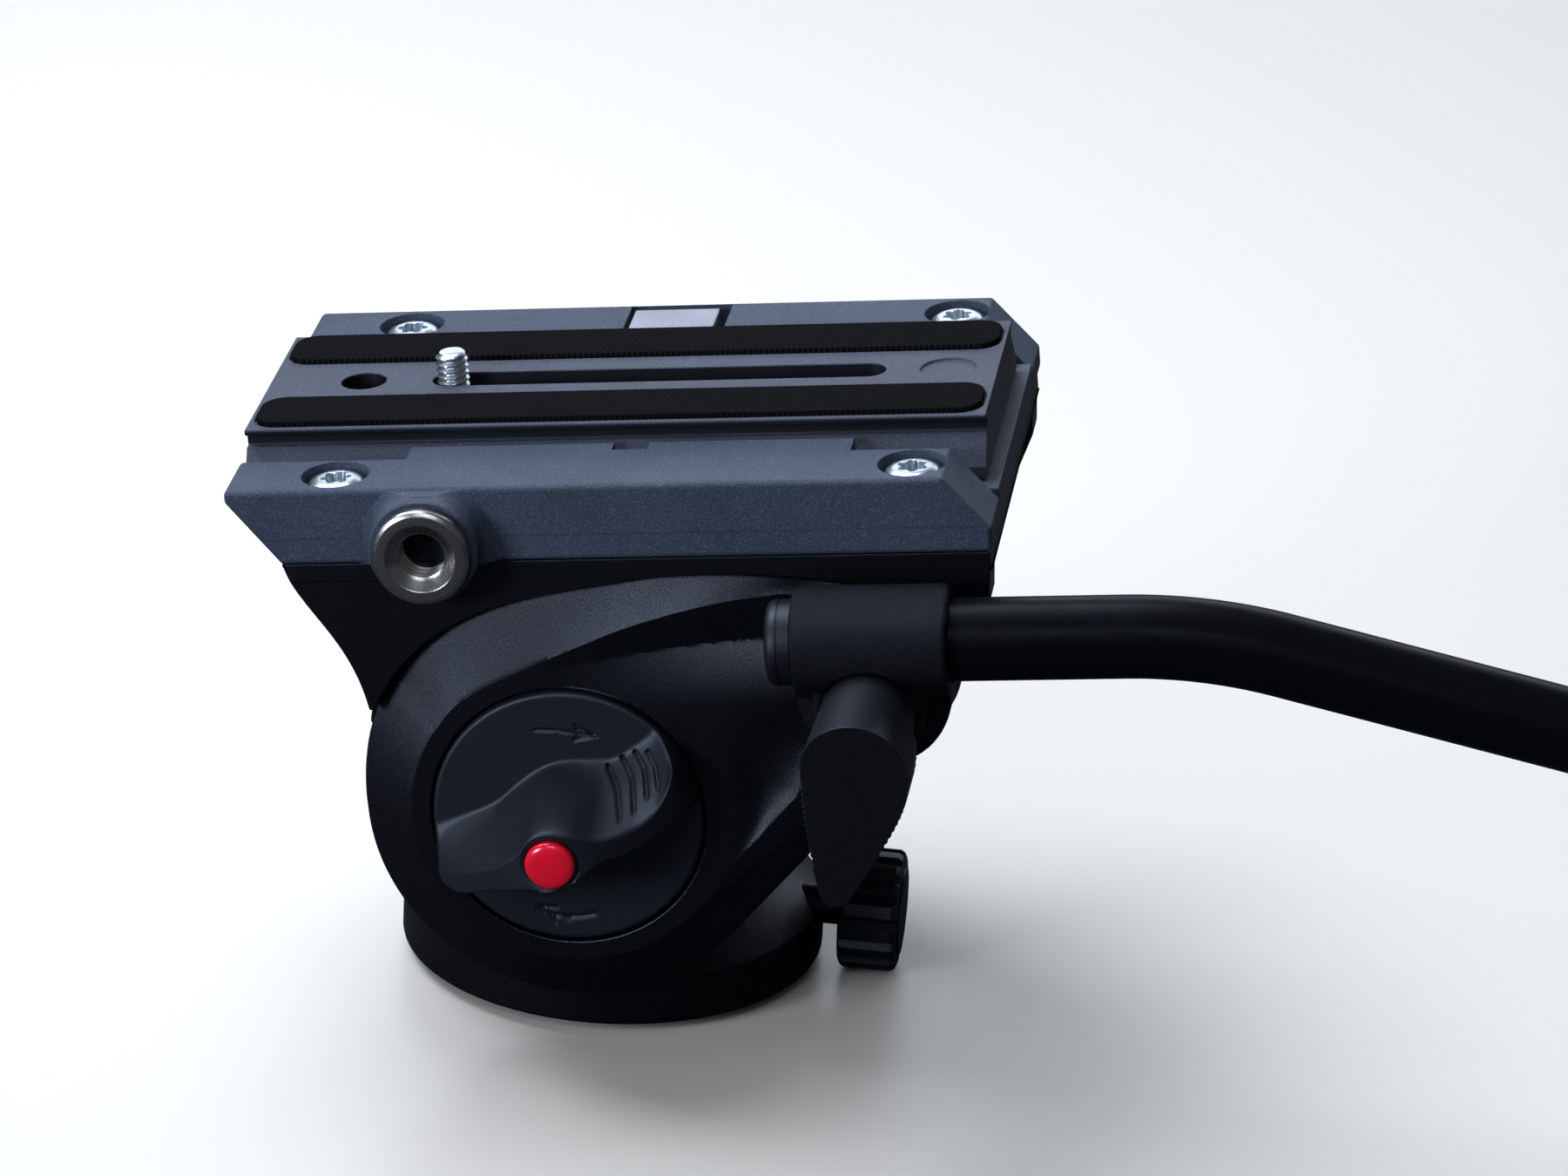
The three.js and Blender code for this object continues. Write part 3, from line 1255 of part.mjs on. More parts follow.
function makePanBar() {
  const bendSteps = [0, 1, 2, 3, 4, 5, 6].map((i) => barStraight + (barArc * i) / 6);
  const tube = cut(
    rodAlongBar([0, ...bendSteps, barLength].map((s) => [s, barRadius]), sides),
    rodAlongBar([-overrun, ...bendSteps, barLength + overrun].map((s) => [s, barRadius - barWall]), sides),
  );
  const gripStart = barLength + gripInset - gripLength;
  const gripEnd = barLength + gripInset;
  const grip = cut(
    rodAlongBar([
      [gripStart, gripRadius - gripEdge], [gripStart + gripEdge, gripRadius], [gripEnd, gripRadius],
    ]),
    rodAlongBar([[gripStart - overrun, barRadius + gap], [gripEnd + overrun, barRadius + gap]]),
  );
  const capLow = gripEnd + gap;
  const spigotRadius = barRadius - barWall - gap;
  const cap = join(
    rodAlongBar([[capLow, gripRadius], [capLow + gripCapLength - gripEdge, gripRadius],
      [capLow + gripCapLength, gripRadius - gripEdge]]),
    rodAlongBar([[barLength + gap, barRadius], [capLow + gap, barRadius]]),
    rodAlongBar([[barLength - plugSpigot, spigotRadius], [barLength + 2 * gap, spigotRadius]]),
  );
  const plugHead = rodAlongBar([
    [-gap - plugLength, plugRadius - plugGroove], [-gap - plugLength + plugGroove, plugRadius],
    [-gap - plugLength / 4 - plugGroove, plugRadius],
    [-gap - plugLength / 4 - plugGroove / 2, plugRadius - plugGroove],
    [-gap - plugLength / 4, plugRadius], [-gap, plugRadius],
  ]);
  const spigot = rodAlongBar([[-2 * gap, spigotRadius], [plugSpigot, spigotRadius]]);
  return [
    part('pan_bar_clamp', makeClamp(), materials.blackPlastic),
    part('pan_bar', tube, materials.barPaint),
    part('bar_end_plug', join(plugHead, spigot), materials.blackPlastic),
    part('bar_grip', grip, materials.rubber),
    part('grip_end_cap', cap, materials.blackPlastic),
  ];
}

function makeClamp() {
  const onBoss = (solid) => solid.translate([bossX, 0, bossZ]);
  const hub = onBoss(alongMinusY(cylinder(clampHubRadius, clampFace, clampFace + clampHubDepth)));
  const neck = onBoss(alongMinusY(cylinder(clampNeckRadius, clampFace + clampHubDepth / 2,
    clampFace + leverStart - gap)));
  const edge = plugGroove;
  const tube = rodAlongBar([
    [0, clampTubeRadius - edge], [edge, clampTubeRadius], [clampTubeLength - edge, clampTubeRadius],
    [clampTubeLength, clampTubeRadius - edge],
  ], sides);
  const bore = rodAlongBar(
    [[-overrun, barRadius + gap], [clampTubeLength + overrun, barRadius + gap]], sides,
  );
  const spotface = onBoss(alongMinusY(cylinder(leverHubRadius + 2 * gap, clampFace + leverStart - gap,
    clampFace + leverLength)));
  const bolt = onBoss(alongMinusY(cylinder(boltRadius + gap, clampFace - overrun, clampFace + leverLength,
    coarseSides)));
  return cut(join(hub, neck, tube), bore, spotface, bolt);
}

// Clamp lever: a round hub with a drop-shaped wing, its outer face cut at a slant
function makeLever() {
  const hub = turned([
    [0, 0], [leverHubRadius, 0], [leverHubEndRadius, leverLength], [0, leverLength],
  ], coarseSides);
  const path = new THREE.Path();
  path.absarc(0, 0, leverHubEndRadius, 0, Math.PI, false);
  path.bezierCurveTo(
    -leverHubEndRadius, -leverReach / 3, -leverTipShift - leverTipRadius, -leverReach / 2,
    -leverTipShift - leverTipRadius / 2, -leverReach + leverTipRadius / 2,
  );
  path.quadraticCurveTo(
    -leverTipShift, -leverReach, -leverTipShift + leverTipRadius, -leverReach + leverTipRadius,
  );
  path.bezierCurveTo(
    leverTipRadius, -leverReach / 2, leverHubEndRadius, -leverReach / 4, leverHubEndRadius, 0,
  );
  const outline = path.getSpacedPoints(leverOutlinePoints).slice(1).map((p) => [p.x, p.y]);
  const wing = slab(outline, leverLength - leverWingStart).translate([0, -leverWingStart, 0]);
  const face = box(-trimReach, trimReach, -trimReach, 0, -trimReach, trimReach)
    .rotate([leverFaceDegrees, 0, 0]).translate([0, -leverLength, leverHubEndRadius]);
  const grooves = [];
  for (let i = 0; i < leverGrooves; i += 1) {
    const z = -(leverReach * (i + 1)) / (leverGrooves + 4);
    const level = outline.filter(([, height]) => Math.abs(height - z) < leverReach / 12);
    const left = Math.min(...level.map(([x]) => x));
    const right = Math.max(...level.map(([x]) => x));
    for (const x of [left, right]) {
      const groove = cylinder(leverGrooveRadius, leverWingStart - overrun, leverLength + overrun, 6);
      grooves.push(alongMinusY(groove).translate([x, 0, z]));
    }
  }
  const bore = alongMinusY(cylinder(boltRadius + gap, -overrun, leverBoltDepth, coarseSides));
  const lever = cut(join(alongMinusY(hub), wing), face, bore, ...grooves);
  const placed = lever.translate([bossX, -(clampFace + leverStart), bossZ]);
  return part('pan_bar_lever', placed, materials.blackPlastic);
}

const brakePadHigh = frameHalfWidth - knobScrewLength - gap;
const brakePadLow = brakePadHigh - brakePadThickness + 2 * gap;
const brakePad = alongMinusY(cylinder(brakePadRadius, brakePadLow, brakePadHigh, coarseSides));

const tiltGroup = new THREE.Group();
tiltGroup.add(
  ...makeTiltHead(), part('tilt_brake_pad', brakePad, materials.brass), ...makeTiltLock(),
  ...makeCameraPlate(), ...makeCameraScrew(), makeJaw(), ...makePlateLock(), makeSafetyButton(),
  ...makePanBar(), makeLever(),
);
tiltGroup.position.set(-tiltAxisForward, 0, tiltAxisHeight);
tiltGroup.rotation.y = -THREE.MathUtils.degToRad(restTiltDegrees);

const head = new THREE.Group();
head.add(...makeFoot(), ...makeHousing(), ...makePanLock(), tiltGroup);

// The origin is the middle of the object's box, on the surface that it stands on
head.updateMatrixWorld(true);
const bounds = new THREE.Box3().setFromObject(head, true);
const middle = bounds.getCenter(new THREE.Vector3());
head.position.set(-middle.x, -middle.y, -bounds.min.z);

export default head;
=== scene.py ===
"""A fluid video head on a flat base, seen from its left side. Lengths are in millimetres in the pieces'
own frames: BASE stands on the table at the pan axis, HEAD has its origin on the tilt axis and leans with it."""
import bpy
import bmesh
import json
import numpy as np
from math import acos, atan, atan2, copysign, cos, degrees, hypot, pi, radians, sin, sqrt, tan
from mathutils import Matrix, Vector


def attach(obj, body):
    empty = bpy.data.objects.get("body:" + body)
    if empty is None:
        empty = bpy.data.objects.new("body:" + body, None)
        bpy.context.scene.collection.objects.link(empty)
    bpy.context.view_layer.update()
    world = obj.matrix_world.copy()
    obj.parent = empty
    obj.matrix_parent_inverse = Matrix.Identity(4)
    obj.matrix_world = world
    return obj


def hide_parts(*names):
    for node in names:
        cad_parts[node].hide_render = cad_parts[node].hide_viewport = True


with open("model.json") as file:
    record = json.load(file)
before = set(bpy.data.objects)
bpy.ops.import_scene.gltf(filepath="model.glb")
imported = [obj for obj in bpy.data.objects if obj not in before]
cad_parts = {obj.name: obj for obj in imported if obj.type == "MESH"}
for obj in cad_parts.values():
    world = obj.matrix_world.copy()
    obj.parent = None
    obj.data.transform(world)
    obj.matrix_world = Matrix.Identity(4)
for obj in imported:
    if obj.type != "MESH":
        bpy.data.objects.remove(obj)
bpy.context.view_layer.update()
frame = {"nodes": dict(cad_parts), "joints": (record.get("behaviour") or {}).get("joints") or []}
scene = bpy.context.scene

MM = 0.001
joints = {joint["name"]: joint for joint in frame["joints"]}
pan_at = Vector(joints["pan_turn"]["pos_m"])
tilt_at = Vector(joints["tilt"]["pos_m"])
LEAN = radians(7)
BASE = Matrix.Translation((pan_at.x, pan_at.y, 0)) @ Matrix.Scale(MM, 4)
HEAD = Matrix.Translation(tilt_at) @ Matrix.Rotation(-LEAN, 4, "Y") @ Matrix.Scale(MM, 4)
GAP = 0.3  # between neighbouring pieces
OVER = 5.0  # by which a cutting shape passes a face
FAR = 400.0  # beyond every piece
FORWARD = 2.8  # the tilt axis lies this far in front of the pan axis
HEIGHT = 49.4  # of the tilt axis over the table
BOLT_R = 3.3  # clearance for the cross bolts and screws

# Camera and light

YAW, RISE, ROLL = radians(6.26), radians(23.5), radians(2.98)
back = Vector((sin(YAW) * cos(RISE), -cos(YAW) * cos(RISE), sin(RISE)))
right = (-back).cross(Vector((0, 0, 1))).normalized()
up = right.cross(-back)
aim = tilt_at + Vector((33.29, -tilt_at.y / MM + pan_at.y / MM, 29.89)) * MM
cam_data = bpy.data.cameras.new("camera")
PHOTO_WIDTH, FOCAL_PIXELS, SENSOR, AWAY = 1800, 7436.6, 36, 1.24906
cam_data.lens = FOCAL_PIXELS / PHOTO_WIDTH * SENSOR
cam_data.sensor_width = SENSOR
cam_data.clip_end = 20
camera = bpy.data.objects.new("camera", cam_data)
scene.collection.objects.link(camera)
turned_right = right * cos(ROLL) + up * sin(ROLL)
turned_up = up * cos(ROLL) - right * sin(ROLL)
axes = Matrix((turned_right, turned_up, back)).transposed()
camera.matrix_world = Matrix.Translation(aim + back * AWAY) @ axes.to_4x4()
scene.camera = camera
scene.view_settings.view_transform = "Standard"


def lamp(name, place, target, size, power, color):
    data = bpy.data.lights.new(name, "AREA")
    data.shape = "RECTANGLE"
    data.size, data.size_y = size
    data.energy, data.color = power, color
    holder = bpy.data.objects.new(name, data)
    scene.collection.objects.link(holder)
    holder.location = place
    aim_at = Vector(target) - Vector(place)
    holder.rotation_euler = aim_at.to_track_quat("-Z", "Y").to_euler()


def set_inputs(node, **values):
    """Sets a node's inputs; the spaces in their names are written as underscores."""
    for name, value in values.items():
        node.inputs[name.replace("_", " ")].default_value = value
    return node


def new_node(tree, kind, **values):
    return set_inputs(tree.nodes.new("ShaderNode" + kind), **values)


def camera_split(tree, others, camera_only):
    """A mix that shows the camera one shader, and all other rays the other."""
    path = new_node(tree, "LightPath")
    mix = new_node(tree, "MixShader")
    tree.links.new(path.outputs["Is Camera Ray"], mix.inputs[0])
    tree.links.new(others.outputs[0], mix.inputs[1])
    tree.links.new(camera_only.outputs[0], mix.inputs[2])
    return mix.outputs[0]


COOL = (0.82, 0.89, 1.0)
lamp("top_light", (-0.62, 0.30, 1.05), (-0.08, 0.0, 0.05), (1.0, 0.7), 17.5, COOL)
lamp("back_light", (0.1, 1.25, 0.62), (-0.1, 0, 0.06), (1.5, 0.45), 5, COOL)
lamp("left_light", (-1.06, -1.04, 0.42), (-0.1, 0, 0.06), (0.45, 0.4), 11, (0.80, 0.88, 1.0))
lamp("front_light", (-0.25, -1.15, 0.98), (-0.08, 0, 0.06), (0.6, 0.4), 3.2, COOL)

world = bpy.data.worlds.new("studio")
world.use_nodes = True
scene.world = world
sky = world.node_tree
sky.nodes.clear()
seen = new_node(sky, "Background", Color=(1, 1, 1, 1), Strength=1.0)
fill = new_node(sky, "Background", Color=(0.90, 0.95, 1.0, 1), Strength=0.09)
sky_out = new_node(sky, "OutputWorld")
sky.links.new(camera_split(sky, fill, seen), sky_out.inputs["Surface"])

# Materials

BLUISH = (0.74, 0.82, 1.0, 1)


def shader(name, color, roughness, metallic=0.0, coat=0.0, specular=0.5):
    """A new material with its surface shader and the texture coordinates of the row's frame, in metres."""
    material = bpy.data.materials.new(name)
    material.use_nodes = True
    tree = material.node_tree
    surface = set_inputs(tree.nodes["Principled BSDF"], Base_Color=(*color, 1), Roughness=roughness,
                         Metallic=metallic, Coat_Weight=coat, Coat_Roughness=0.1, Specular_IOR_Level=specular)
    if not metallic:
        set_inputs(surface, Specular_Tint=BLUISH)
    place = new_node(tree, "TexCoord")
    return material, tree, surface, place.outputs["Object"]


def noise(tree, where, scale, detail=2.0, rough=0.5):
    node = new_node(tree, "TexNoise", Scale=scale, Detail=detail, Roughness=rough)
    tree.links.new(where, node.inputs["Vector"])
    return node.outputs["Fac"]


def spread(tree, value, low, high, new_low, new_high):
    node = new_node(tree, "MapRange", From_Min=low, From_Max=high, To_Min=new_low, To_Max=new_high)
    tree.links.new(value, node.inputs["Value"])
    return node.outputs["Result"]


def tint(tree, value, dark, light):
    node = new_node(tree, "Mix")
    node.data_type = "RGBA"
    set_inputs(node, A=(*dark, 1), B=(*light, 1))
    tree.links.new(value, node.inputs["Factor"])
    return node.outputs["Result"]


def bump(tree, surface, height, strength, distance):
    node = new_node(tree, "Bump", Strength=strength, Distance=distance)
    tree.links.new(height, node.inputs["Height"])
    tree.links.new(node.outputs["Normal"], surface.inputs["Normal"])


MIDDLE = (0.3, 0.7)  # the range that most of a noise lies in


def grained(name, color, roughness, grain, depth, vary=0.15, speckle=0.0, **more):
    """A painted or moulded surface: fine grain, a little unevenness in colour and gloss, and bright specks."""
    material, tree, surface, where = shader(name, color, roughness, **more)
    wide = noise(tree, where, 60, 3)
    fine = noise(tree, where, grain, 5, 0.8)
    dark = tuple(c * (1 - vary) for c in color)
    light = tuple(min(1, c * (1 + vary)) for c in color)
    shade = tint(tree, spread(tree, wide, *MIDDLE, 0, 1), dark, light)
    if speckle:
        spots = noise(tree, where, grain * 1.2, 1, 0.4)
        share = spread(tree, spots, 0.55, 0.66, 0, speckle)
        node = new_node(tree, "Mix")
        node.data_type = "RGBA"
        set_inputs(node, B=(0.45, 0.5, 0.6, 1))
        tree.links.new(share, node.inputs["Factor"])
        tree.links.new(shade, node.inputs["A"])
        shade = node.outputs["Result"]
    tree.links.new(shade, surface.inputs["Base Color"])
    gloss = spread(tree, fine, *MIDDLE, roughness - 0.06, roughness + 0.08)
    tree.links.new(gloss, surface.inputs["Roughness"])
    bump(tree, surface, fine, 0.8, depth)
    return material


def metal(name, color, roughness):
    """A bare or plated metal with faint uneven places."""
    material, tree, surface, where = shader(name, color, roughness, metallic=1.0)
    fine = noise(tree, where, 3000, 2, 0.5)
    wide = noise(tree, where, 90, 2)
    dull = tuple(c * 0.85 for c in color)
    tree.links.new(tint(tree, spread(tree, wide, *MIDDLE, 0, 1), dull, color), surface.inputs["Base Color"])
    gloss = spread(tree, fine, *MIDDLE, roughness * 0.85, roughness * 1.2)
    tree.links.new(gloss, surface.inputs["Roughness"])
    bump(tree, surface, fine, 0.08, 0.000004)
    return material


DEEP_BLACK = (0.0020, 0.0023, 0.0036)
MAT = {
    "casting": grained("black_coat", DEEP_BLACK, 0.34, 2200, 0.00006, specular=0.42),
    "cover": grained("moulded_black", DEEP_BLACK, 0.27, 3700, 0.00008, specular=0.5),
    "knob": grained("soft_black", (0.0058, 0.0074, 0.0115), 0.46, 2600, 0.00005, specular=0.65),
    "clamp": grained("textured_black", (0.0026, 0.0030, 0.0046), 0.40, 1500, 0.00045, specular=0.25),
    "smooth_black": grained("smooth_black", (0.0042, 0.0048, 0.0070), 0.45, 2600, 0.00004, specular=0.45),
    "rail": grained("slate_coat", (0.042, 0.058, 0.092), 0.45, 2200, 0.00035, speckle=0.12),
    "plate": grained("slate_plate", (0.058, 0.065, 0.092), 0.55, 2200, 0.00030, speckle=0.1),
    "steel": metal("zinc", (0.60, 0.66, 0.72), 0.30),
    "bright": metal("stainless", (0.40, 0.39, 0.385), 0.26),
    "jaw": metal("jaw_metal", (0.36, 0.37, 0.43), 0.5),
    "brass": metal("brass", (0.62, 0.46, 0.20), 0.32),
    "red": grained("red_gloss", (0.95, 0.006, 0.032), 0.20, 900, 0.000002, vary=0.06, coat=0.6),
    "bar": grained("gloss_black", (0.0035, 0.0038, 0.0050), 0.34, 90, 0.000002, specular=0.06),
    "grip": grained("foam_black", (0.014, 0.014, 0.015), 0.85, 1500, 0.0005, specular=0.3),
    "vial": grained("vial", (0.45, 0.62, 0.10), 0.10, 200, 0.00001, coat=1.0),
}

# Meshes


def make(verts, faces, name="tmp"):
    mesh = bpy.data.meshes.new(name)
    mesh.from_pydata([tuple(v) for v in verts], [], [tuple(f) for f in faces])
    thing = bpy.data.objects.new(name, mesh)
    scene.collection.objects.link(thing)
    edit = bmesh.new()
    edit.from_mesh(mesh)
    bmesh.ops.remove_doubles(edit, verts=edit.verts, dist=1e-5)
    bmesh.ops.recalc_face_normals(edit, faces=edit.faces)
    edit.to_mesh(mesh)
    edit.free()
    return thing


def polar(r, a):
    return r * cos(a), r * sin(a)


def turned(profile, n=96):
    """Revolves a closed profile of (radius, height) about Z."""
    verts, rows = [], []
    for r, z in profile:
        if r < 1e-6:
            rows.append([len(verts)] * n)
            verts.append((0, 0, z))
        else:
            rows.append(list(range(len(verts), len(verts) + n)))
            verts += [(*polar(r, 2 * pi * i / n), z) for i in range(n)]
    faces = []
    for a, b in zip(rows, rows[1:] + rows[:1]):
        for i in range(n):
            j = (i + 1) % n
            face = list(dict.fromkeys((a[i], a[j], b[j], b[i])))
            if len(face) > 2:
                faces.append(face)
    return make(verts, faces)


def cylinder(r, low, high, n=96):
    return turned([(0, low), (r, low), (r, high), (0, high)], n)


def move(thing, matrix):
    thing.data.transform(matrix)
    if matrix.determinant() < 0:
        thing.data.flip_normals()
    return thing


def shift(thing, x=0, y=0, z=0):
    return move(thing, Matrix.Translation((x, y, z)))


def turn(thing, angle, axis):
    return move(thing, Matrix.Rotation(radians(angle), 4, axis))


def along_x(thing):
    return turn(thing, 90, "Y")


def along_minus_y(thing):
    return turn(thing, 90, "X")


def along_y(thing):
    return turn(thing, -90, "X")


def mirror_y(thing):
    return move(thing, Matrix.Scale(-1, 4, (0, 1, 0)))


def copy(thing):
    other = thing.copy()
    other.data = thing.data.copy()
    scene.collection.objects.link(other)
    return other


def block(x0, x1, y0, y1, z0, z1):
    verts = [(x, y, z) for x in (x0, x1) for y in (y0, y1) for z in (z0, z1)]
    faces = [(0, 1, 3, 2), (4, 6, 7, 5), (0, 4, 5, 1), (2, 3, 7, 6), (0, 2, 6, 4), (1, 5, 7, 3)]
    return make(verts, faces)


def space(x=(-FAR, FAR), y=(-FAR, FAR), z=(-FAR, FAR)):
    """A block that goes past every piece where no range is given."""
    return block(*x, *y, *z)


def prism(low, high):
    """Two matching rings of points, joined by a side wall and closed."""
    n = len(low)
    faces = [(i, (i + 1) % n, n + (i + 1) % n, n + i) for i in range(n)]
    faces += [tuple(range(n))[::-1], tuple(range(n, 2 * n))]
    return make(list(low) + list(high), faces)


def slab(points, depth, start=0.0):
    """An outline of (x, z) given a depth along -Y from y = start."""
    return prism([(x, start, z) for x, z in points], [(x, start - depth, z) for x, z in points])


def section(points, x0, x1):
    """A section of (y, z) drawn out along X."""
    return prism([(x0, y, z) for y, z in points], [(x1, y, z) for y, z in points])


def loft(rings):
    """Rings of as many points each, joined in turn and closed at both ends."""
    n = len(rings[0])
    faces = []
    for r in range(len(rings) - 1):
        a, b = r * n, (r + 1) * n
        faces += [(a + i, a + (i + 1) % n, b + (i + 1) % n, b + i) for i in range(n)]
    last = (len(rings) - 1) * n
    faces += [tuple(range(n))[::-1], tuple(range(last, last + n))]
    return make([p for points in rings for p in points], faces)


def apply(thing):
    """Makes the thing's modifiers its mesh."""
    graph = bpy.context.evaluated_depsgraph_get()
    mesh = bpy.data.meshes.new_from_object(thing.evaluated_get(graph))
    thing.modifiers.clear()
    thing.data = mesh
    return thing


def boolean(thing, kind, others):
    for other in others:
        change = thing.modifiers.new("change", "BOOLEAN")
        change.operation = kind
        change.object = other
        change.solver = "MANIFOLD"
        bpy.context.view_layer.update()
        apply(thing)
        bpy.data.objects.remove(other)
    return thing


def join(first, *others):
    return boolean(first, "UNION", others)


def cut(first, *others):
    return boolean(first, "DIFFERENCE", others)


def bevel(thing, width, segments=2, angle=28, pick=None):
    """Rounds the edges sharper than angle, or those that pick chooses by their middle and their ends."""
    edit = bmesh.new()
    edit.from_mesh(thing.data)
    bmesh.ops.dissolve_limit(edit, angle_limit=radians(0.4), verts=edit.verts, edges=edit.edges)
    chosen = []
    for edge in edit.edges:
        if len(edge.link_faces) != 2 or edge.calc_face_angle(0) < radians(angle):
            continue
        if pick is None or pick(edge.verts[0].co, edge.verts[1].co):
            chosen.append(edge)
    bmesh.ops.bevel(edit, geom=chosen, offset=width, offset_type="OFFSET", segments=segments,
                    profile=0.5, affect="EDGES", clamp_overlap=False, miter_outer="SHARP")
    edit.to_mesh(thing.data)
    edit.free()
    return thing


def smooth(thing, angle):
    """Smooth shading with sharp edges where the faces turn by more than angle."""
    mesh = thing.data
    mesh.polygons.foreach_set("use_smooth", [True] * len(mesh.polygons))
    mesh.set_sharp_from_angle(angle=radians(angle))


def paint(thing, faces, material):
    """Gives some faces of a piece a second material."""
    thing.data.materials.append(MAT[material])
    for index in faces:
        thing.data.polygons[index].material_index = 1


def piece(name, thing, body, material, replaces, angle=32, weighted=True):
    """Puts a finished piece into the row's frame, on its body."""
    thing.name = name
    thing.data.name = name
    move(thing, BASE if body in ("base", "pan_body", "pan_lock") else HEAD)
    smooth(thing, angle)
    if weighted:
        even = thing.modifiers.new("even", "WEIGHTED_NORMAL")
        even.keep_sharp = True
        even.weight = 90
    thing.data.materials.clear()
    thing.data.materials.append(MAT[material])
    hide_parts(*replaces)
    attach(thing, body)


def arc(x, z, r, start, end, n):
    """Points of an arc in degrees, both ends included."""
    angles = [radians(start + (end - start) * i / n) for i in range(n + 1)]
    return [(x + r * cos(a), z + r * sin(a)) for a in angles]


def bezier(p0, p1, p2, p3, n):
    out = []
    for i in range(n + 1):
        t = i / n
        a, b, c, d = (1 - t) ** 3, 3 * t * (1 - t) ** 2, 3 * t * t * (1 - t), t ** 3
        out.append((a * p0[0] + b * p1[0] + c * p2[0] + d * p3[0],
                    a * p0[1] + b * p1[1] + c * p2[1] + d * p3[1]))
    return out


def table(points, n=400):
    """A smooth curve through points whose first values rise, as two arrays."""
    xs = np.array([p[0] for p in points], float)
    zs = np.array([p[1] for p in points], float)
    slopes = np.gradient(zs, xs)
    x = np.linspace(xs[0], xs[-1], n)
    k = np.clip(np.searchsorted(xs, x) - 1, 0, len(xs) - 2)
    h = xs[k + 1] - xs[k]
    t = (x - xs[k]) / h
    z = (2 * t ** 3 - 3 * t ** 2 + 1) * zs[k] + (t ** 3 - 2 * t ** 2 + t) * h * slopes[k]
    return x, z + (3 * t ** 2 - 2 * t ** 3) * zs[k + 1] + (t ** 3 - t ** 2) * h * slopes[k + 1]


def ease(t):
    """Rises smoothly from 0 to 1 as t does."""
    t = np.clip(t, 0, 1)
    return t * t * (3 - 2 * t)


def distance_to(points, x, z):
    """Distance from each place to a line of points, and the side of the line that it lies on."""
    best = np.full(np.shape(x), 1e9)
    side = np.ones(np.shape(x))
    for (ax, az), (bx, bz) in zip(points, points[1:]):
        dx, dz = bx - ax, bz - az
        t = np.clip(((x - ax) * dx + (z - az) * dz) / (dx * dx + dz * dz), 0, 1)
        d = np.hypot(x - ax - t * dx, z - az - t * dz)
        nearer = d < best
        best = np.where(nearer, d, best)
        side = np.where(nearer, np.sign(dx * (z - az) - dz * (x - ax)), side)
    return best, side


def inset_ring(points, corner, inset, n):
    """A convex outline with round corners, moved inwards; every inset gives as many points."""
    out = []
    count = len(points)
    for i in range(count):
        here = Vector(points[i])
        before = (here - Vector(points[i - 1])).normalized()
        after = (Vector(points[(i + 1) % count]) - here).normalized()
        turn_angle = before.angle_signed(after)
        sign = 1 if turn_angle > 0 else -1
        half = abs(turn_angle) / 2
        inward = Vector((before.y, -before.x)) * sign
        centre = here + inward * corner - before * tan(half) * corner
        for k in range(n + 1):
            a = -turn_angle * k / n
            ray = -inward
            out.append(tuple(centre + Vector((ray.x * cos(a) - ray.y * sin(a),
                                              ray.x * sin(a) + ray.y * cos(a))) * (corner - inset)))
    return out


def round_slab(points, depth, start, r, back_round, n=5):
    """An outline of (x, z) with round corners and a depth along -Y, rounded by r at its far end."""
    rings_at = []
    for k in range(3):
        a = pi / 2 * k / 3
        rings_at.append((back_round * (1 - sin(a)), start - back_round * (1 - cos(a))))
    rings_at.append((0, start - back_round))
    for k in range(n + 1):
        a = pi / 2 * k / n
        rings_at.append((r * (1 - cos(a)), start - depth + r - r * sin(a)))
    return loft([[(x, y, z) for x, z in inset_ring(points, r, inset, n)] for inset, y in rings_at])


# Foot, housing and pan lock

foot = turned([(6.8, 0), (30, 0), (30, 2.5), (24, 2.5), (24, 6), (6.8, 6)], 128)
piece("foot", bevel(foot, 0.3), "base", "casting", ["base_foot"])
bush_profile = [(6.5, 0.6), (6.5, 14.6), (4.2, 14.6)]
for k in range(11):
    bush_profile += [(4.2, 14.0 - k * 1.2), (4.65, 13.5 - k * 1.2), (4.2, 13.0 - k * 1.2)]
tripod_bush = turned(bush_profile + [(4.9, 0.6)], 64)
piece("tripod_bush", tripod_bush, "base", "steel", ["thread_bush"], angle=25)

PAN_LOCK_Z = 12.75
COLUMN_R, COLUMN_LOW, COLUMN_DEPTH = 24, 13.2, 46  # of the column that carries the tilt axle
column_outline = [(-FORWARD + COLUMN_R, COLUMN_LOW), *arc(-FORWARD, HEIGHT, COLUMN_R, 0, 180, 48),
                  (-FORWARD - COLUMN_R, COLUMN_LOW)]
shell = turned([(0, 2.5), (41.1, 2.5), (41.5, 2.9), (41.5, 12.5), (41.3, 13.0), (40.8, 13.3),
                (30.8, 21.8), (29.5, 22.2), (0, 22.2)], 160)
column = shift(slab(column_outline, COLUMN_DEPTH), y=COLUMN_DEPTH / 2)
lock_boss = shift(along_x(cylinder(3.9, 35.5, 45.2, 48)), z=PAN_LOCK_Z)
level_at = polar(34, radians(45))
level_boss = shift(cylinder(7.8, 12.7, 21, 48), *level_at)
cavity = turned([(0, -3), (35.5, -3), (35.5, 14.3), (27, 18.6), (18.3, 18.6), (18.3, 35.4), (0, 35.4)], 96)


def tilt_bore(r, low, high):
    return shift(along_y(cylinder(r, low, high, 64)), -FORWARD, 0, HEIGHT)


